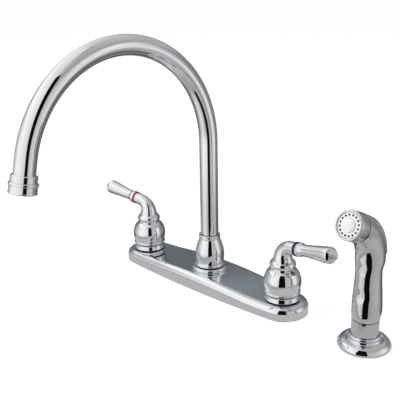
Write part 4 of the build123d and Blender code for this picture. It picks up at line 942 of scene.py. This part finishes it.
def floor_material():
    """White floor. Seen directly or in the metal, most of its white stays, and the shadow takes the rest."""
    made = bpy.data.materials.new("floor_white")
    nodes = fresh_nodes(made)
    output = nodes.put("ShaderNodeOutputMaterial")
    shaded = nodes.put("ShaderNodeBsdfDiffuse")
    shaded.inputs["Color"].default_value = grey(FLOOR_WHITE * FLOOR_SHADE)
    glow = nodes.put("ShaderNodeEmission")
    glow.inputs["Strength"].default_value = 1 - FLOOR_SHADE * FLOOR_LIGHT
    shown = nodes.put("ShaderNodeAddShader")
    nodes.feed(shown.inputs[0], shaded.outputs["BSDF"])
    nodes.feed(shown.inputs[1], glow.outputs["Emission"])
    plain = nodes.put("ShaderNodeBsdfDiffuse")
    plain.inputs["Color"].default_value = grey(FLOOR_WHITE)
    either = nodes.put("ShaderNodeMixShader")
    nodes.feed(either.inputs[0], nodes.seen())
    nodes.feed(either.inputs[1], plain.outputs["BSDF"])
    nodes.feed(either.inputs[2], shown.outputs["Shader"])
    nodes.feed(output.inputs["Surface"], either.outputs["Shader"])
    return made


def flat_card(name, corners, made):
    """Card of one face, from its corners in order."""
    mesh = bpy.data.meshes.new(name)
    mesh.from_pydata(corners, [], [tuple(range(len(corners)))])
    mesh.materials.append(made)
    return add_object(name, mesh)


def mirror_only(card):
    """Lets only the metal's reflections see a card."""
    card.visible_camera = False
    card.visible_diffuse = False
    card.visible_transmission = False
    card.visible_volume_scatter = False
    card.visible_shadow = False


def position(nodes):
    """The x, y and z of a point, in metres."""
    geometry = nodes.put("ShaderNodeNewGeometry")
    parts = nodes.put("ShaderNodeSeparateXYZ")
    nodes.feed(parts.inputs[0], geometry.outputs["Position"])
    return parts.outputs


def camera_heading():
    """Direction on the floor from the object to the camera."""
    return Vector(CAMERA_BACK[:2]).normalized()


def toward_camera(nodes, x, y):
    """How far a point lies towards the camera, and how far to its right, in metres on the floor."""
    heading = camera_heading()
    near = nodes.math("ADD", nodes.math("MULTIPLY", x, heading.x), nodes.math("MULTIPLY", y, heading.y))
    right = nodes.math("ADD", nodes.math("MULTIPLY", x, -heading.y), nodes.math("MULTIPLY", y, heading.x))
    return near, right


def ramp(nodes, turn, stops):
    """Level of light by the bearing, from its stops."""
    node = nodes.put("ShaderNodeValToRGB")
    elements = node.color_ramp.elements
    for count, (degrees, level) in enumerate(stops):
        at = (degrees + 180) / 360
        element = elements[count] if count < 2 else elements.new(at)
        element.position = at
        element.color = grey(level / TENT_BRIGHTEST)
    nodes.feed(node.inputs["Fac"], nodes.math("DIVIDE", nodes.math("ADD", turn, 180.0), 360.0))
    return nodes.math("MULTIPLY", node.outputs["Color"], TENT_BRIGHTEST)


def tent_light(nodes):
    """Light tent: white to the left and above, greyer to the right, dim below and behind."""
    x, y, z = position(nodes)
    near, right = toward_camera(nodes, x, y)
    turn = nodes.math("DEGREES", nodes.math("ARCTAN2", right, near))
    squares = nodes.math("ADD", nodes.math("POWER", near, 2.0), nodes.math("POWER", right, 2.0))
    away = nodes.math("SQRT", squares)
    rise = nodes.math("DEGREES", nodes.math("ARCTAN2", z, away))
    light = ramp(nodes, turn, TENT_LEVELS[0])
    for (low, high), stops in zip(TENT_BLENDS, TENT_LEVELS[1:]):
        light = nodes.mix(nodes.step(rise, low, high), light, ramp(nodes, turn, stops))
    return light


def mat_light(nodes):
    """Grey mat, palest beside the plate."""
    x, y, z = position(nodes)
    level = nodes.mix(nodes.step(y, *MAT_BLEND), MAT_FAR, MAT_NEAR)
    return nodes.math("MULTIPLY", level, nodes.mix(nodes.step(x, *MAT_RIGHT_BLEND), 1.0, MAT_RIGHT))


def back_light(nodes):
    """Dark card behind the object, a little paler towards its top."""
    x, y, z = position(nodes)
    near, right = toward_camera(nodes, x, y)
    left_at, left_share, right_at, right_share = BACK_SIDES
    share = nodes.mix(nodes.step(right, left_at, right_at), left_share, right_share)
    return nodes.math("MULTIPLY", nodes.mix(nodes.step(z, *BACK_FADE), BACK_DARK, BACK_PALE), share)


def upright(name, ends, span, made):
    """Upright card over a line on the floor."""
    (left, right), (low, high) = ends, span
    corners = ((*left, low), (*right, low), (*right, high), (*left, high))
    mirror_only(flat_card(name, corners, made))


def build_stage():
    half = FLOOR_SIZE / 2
    square = ((-half, -half, 0), (half, -half, 0), (half, half, 0), (-half, half, 0))
    floor = flat_card("floor", square, floor_material())
    floor.visible_glossy = False      # the tent's lower half stands in for it there

    globe = bmesh.new()
    around, upward = TENT_SEGMENTS
    bmesh.ops.create_uvsphere(globe, u_segments=around, v_segments=upward, radius=TENT_RADIUS)
    tent = add_object("tent", mesh_of("tent", globe))
    tent.data.materials.append(glowing("tent_light", tent_light))
    mirror_only(tent)

    mirror_only(flat_card("mat", [(x, y, MAT_LIFT) for x, y in MAT], glowing("mat_grey", mat_light)))
    upright("tent_gap", GAP, GAP_SPAN, glowing("gap_black", BLACK))
    heading = camera_heading()
    side = Vector((-heading.y, heading.x)) * BACK_HALF_WIDTH
    ends = (-BACK_DISTANCE * heading - side, -BACK_DISTANCE * heading + side)
    upright("back_card", ends, BACK_SPAN, glowing("back_dark", back_light, BACK_TINT))


def add_lamp(name, place, size, power):
    """Square lamp that lights the object but doesn't show in it."""
    lamp = bpy.data.lights.new(name, "AREA")
    lamp.shape = "SQUARE"
    lamp.size = size
    lamp.energy = power
    thing = add_object(name, lamp)
    thing.location = place
    thing.rotation_euler = (Vector(LAMP_AIM) - Vector(place)).to_track_quat("-Z", "Y").to_euler()
    thing.visible_glossy = False


def build_lights():
    add_lamp("key_lamp", *KEY_LAMP)
    add_lamp("fill_lamp", *FILL_LAMP)


def build_world():
    """World that shows as white, and lights the object less than it shows."""
    world = bpy.data.worlds.new("studio")
    bpy.context.scene.world = world
    nodes = fresh_nodes(world)
    output = nodes.put("ShaderNodeOutputWorld")
    background = nodes.put("ShaderNodeBackground")
    background.inputs["Color"].default_value = grey(1.0)
    nodes.feed(background.inputs["Strength"], nodes.mix(nodes.seen(), WORLD_LIGHT, 1.0))
    nodes.feed(output.inputs["Surface"], background.outputs["Background"])


def build_camera():
    camera = bpy.data.cameras.new("camera")
    camera.sensor_width = SENSOR
    camera.lens = FOCAL_PIXELS / PICTURE_PIXELS * SENSOR
    camera.clip_start = CLIP_START
    thing = add_object("camera", camera)
    turn = Matrix((CAMERA_RIGHT, CAMERA_UP, CAMERA_BACK)).transposed().to_4x4()
    thing.matrix_world = Matrix.Translation(CAMERA_PLACE) @ turn
    bpy.context.scene.camera = thing


FINISHES = finishes()
build_camera()
build_lights()
build_world()
build_stage()
dress(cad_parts, FINISHES)
build_pieces()
bpy.context.scene.view_settings.view_transform = "Standard"
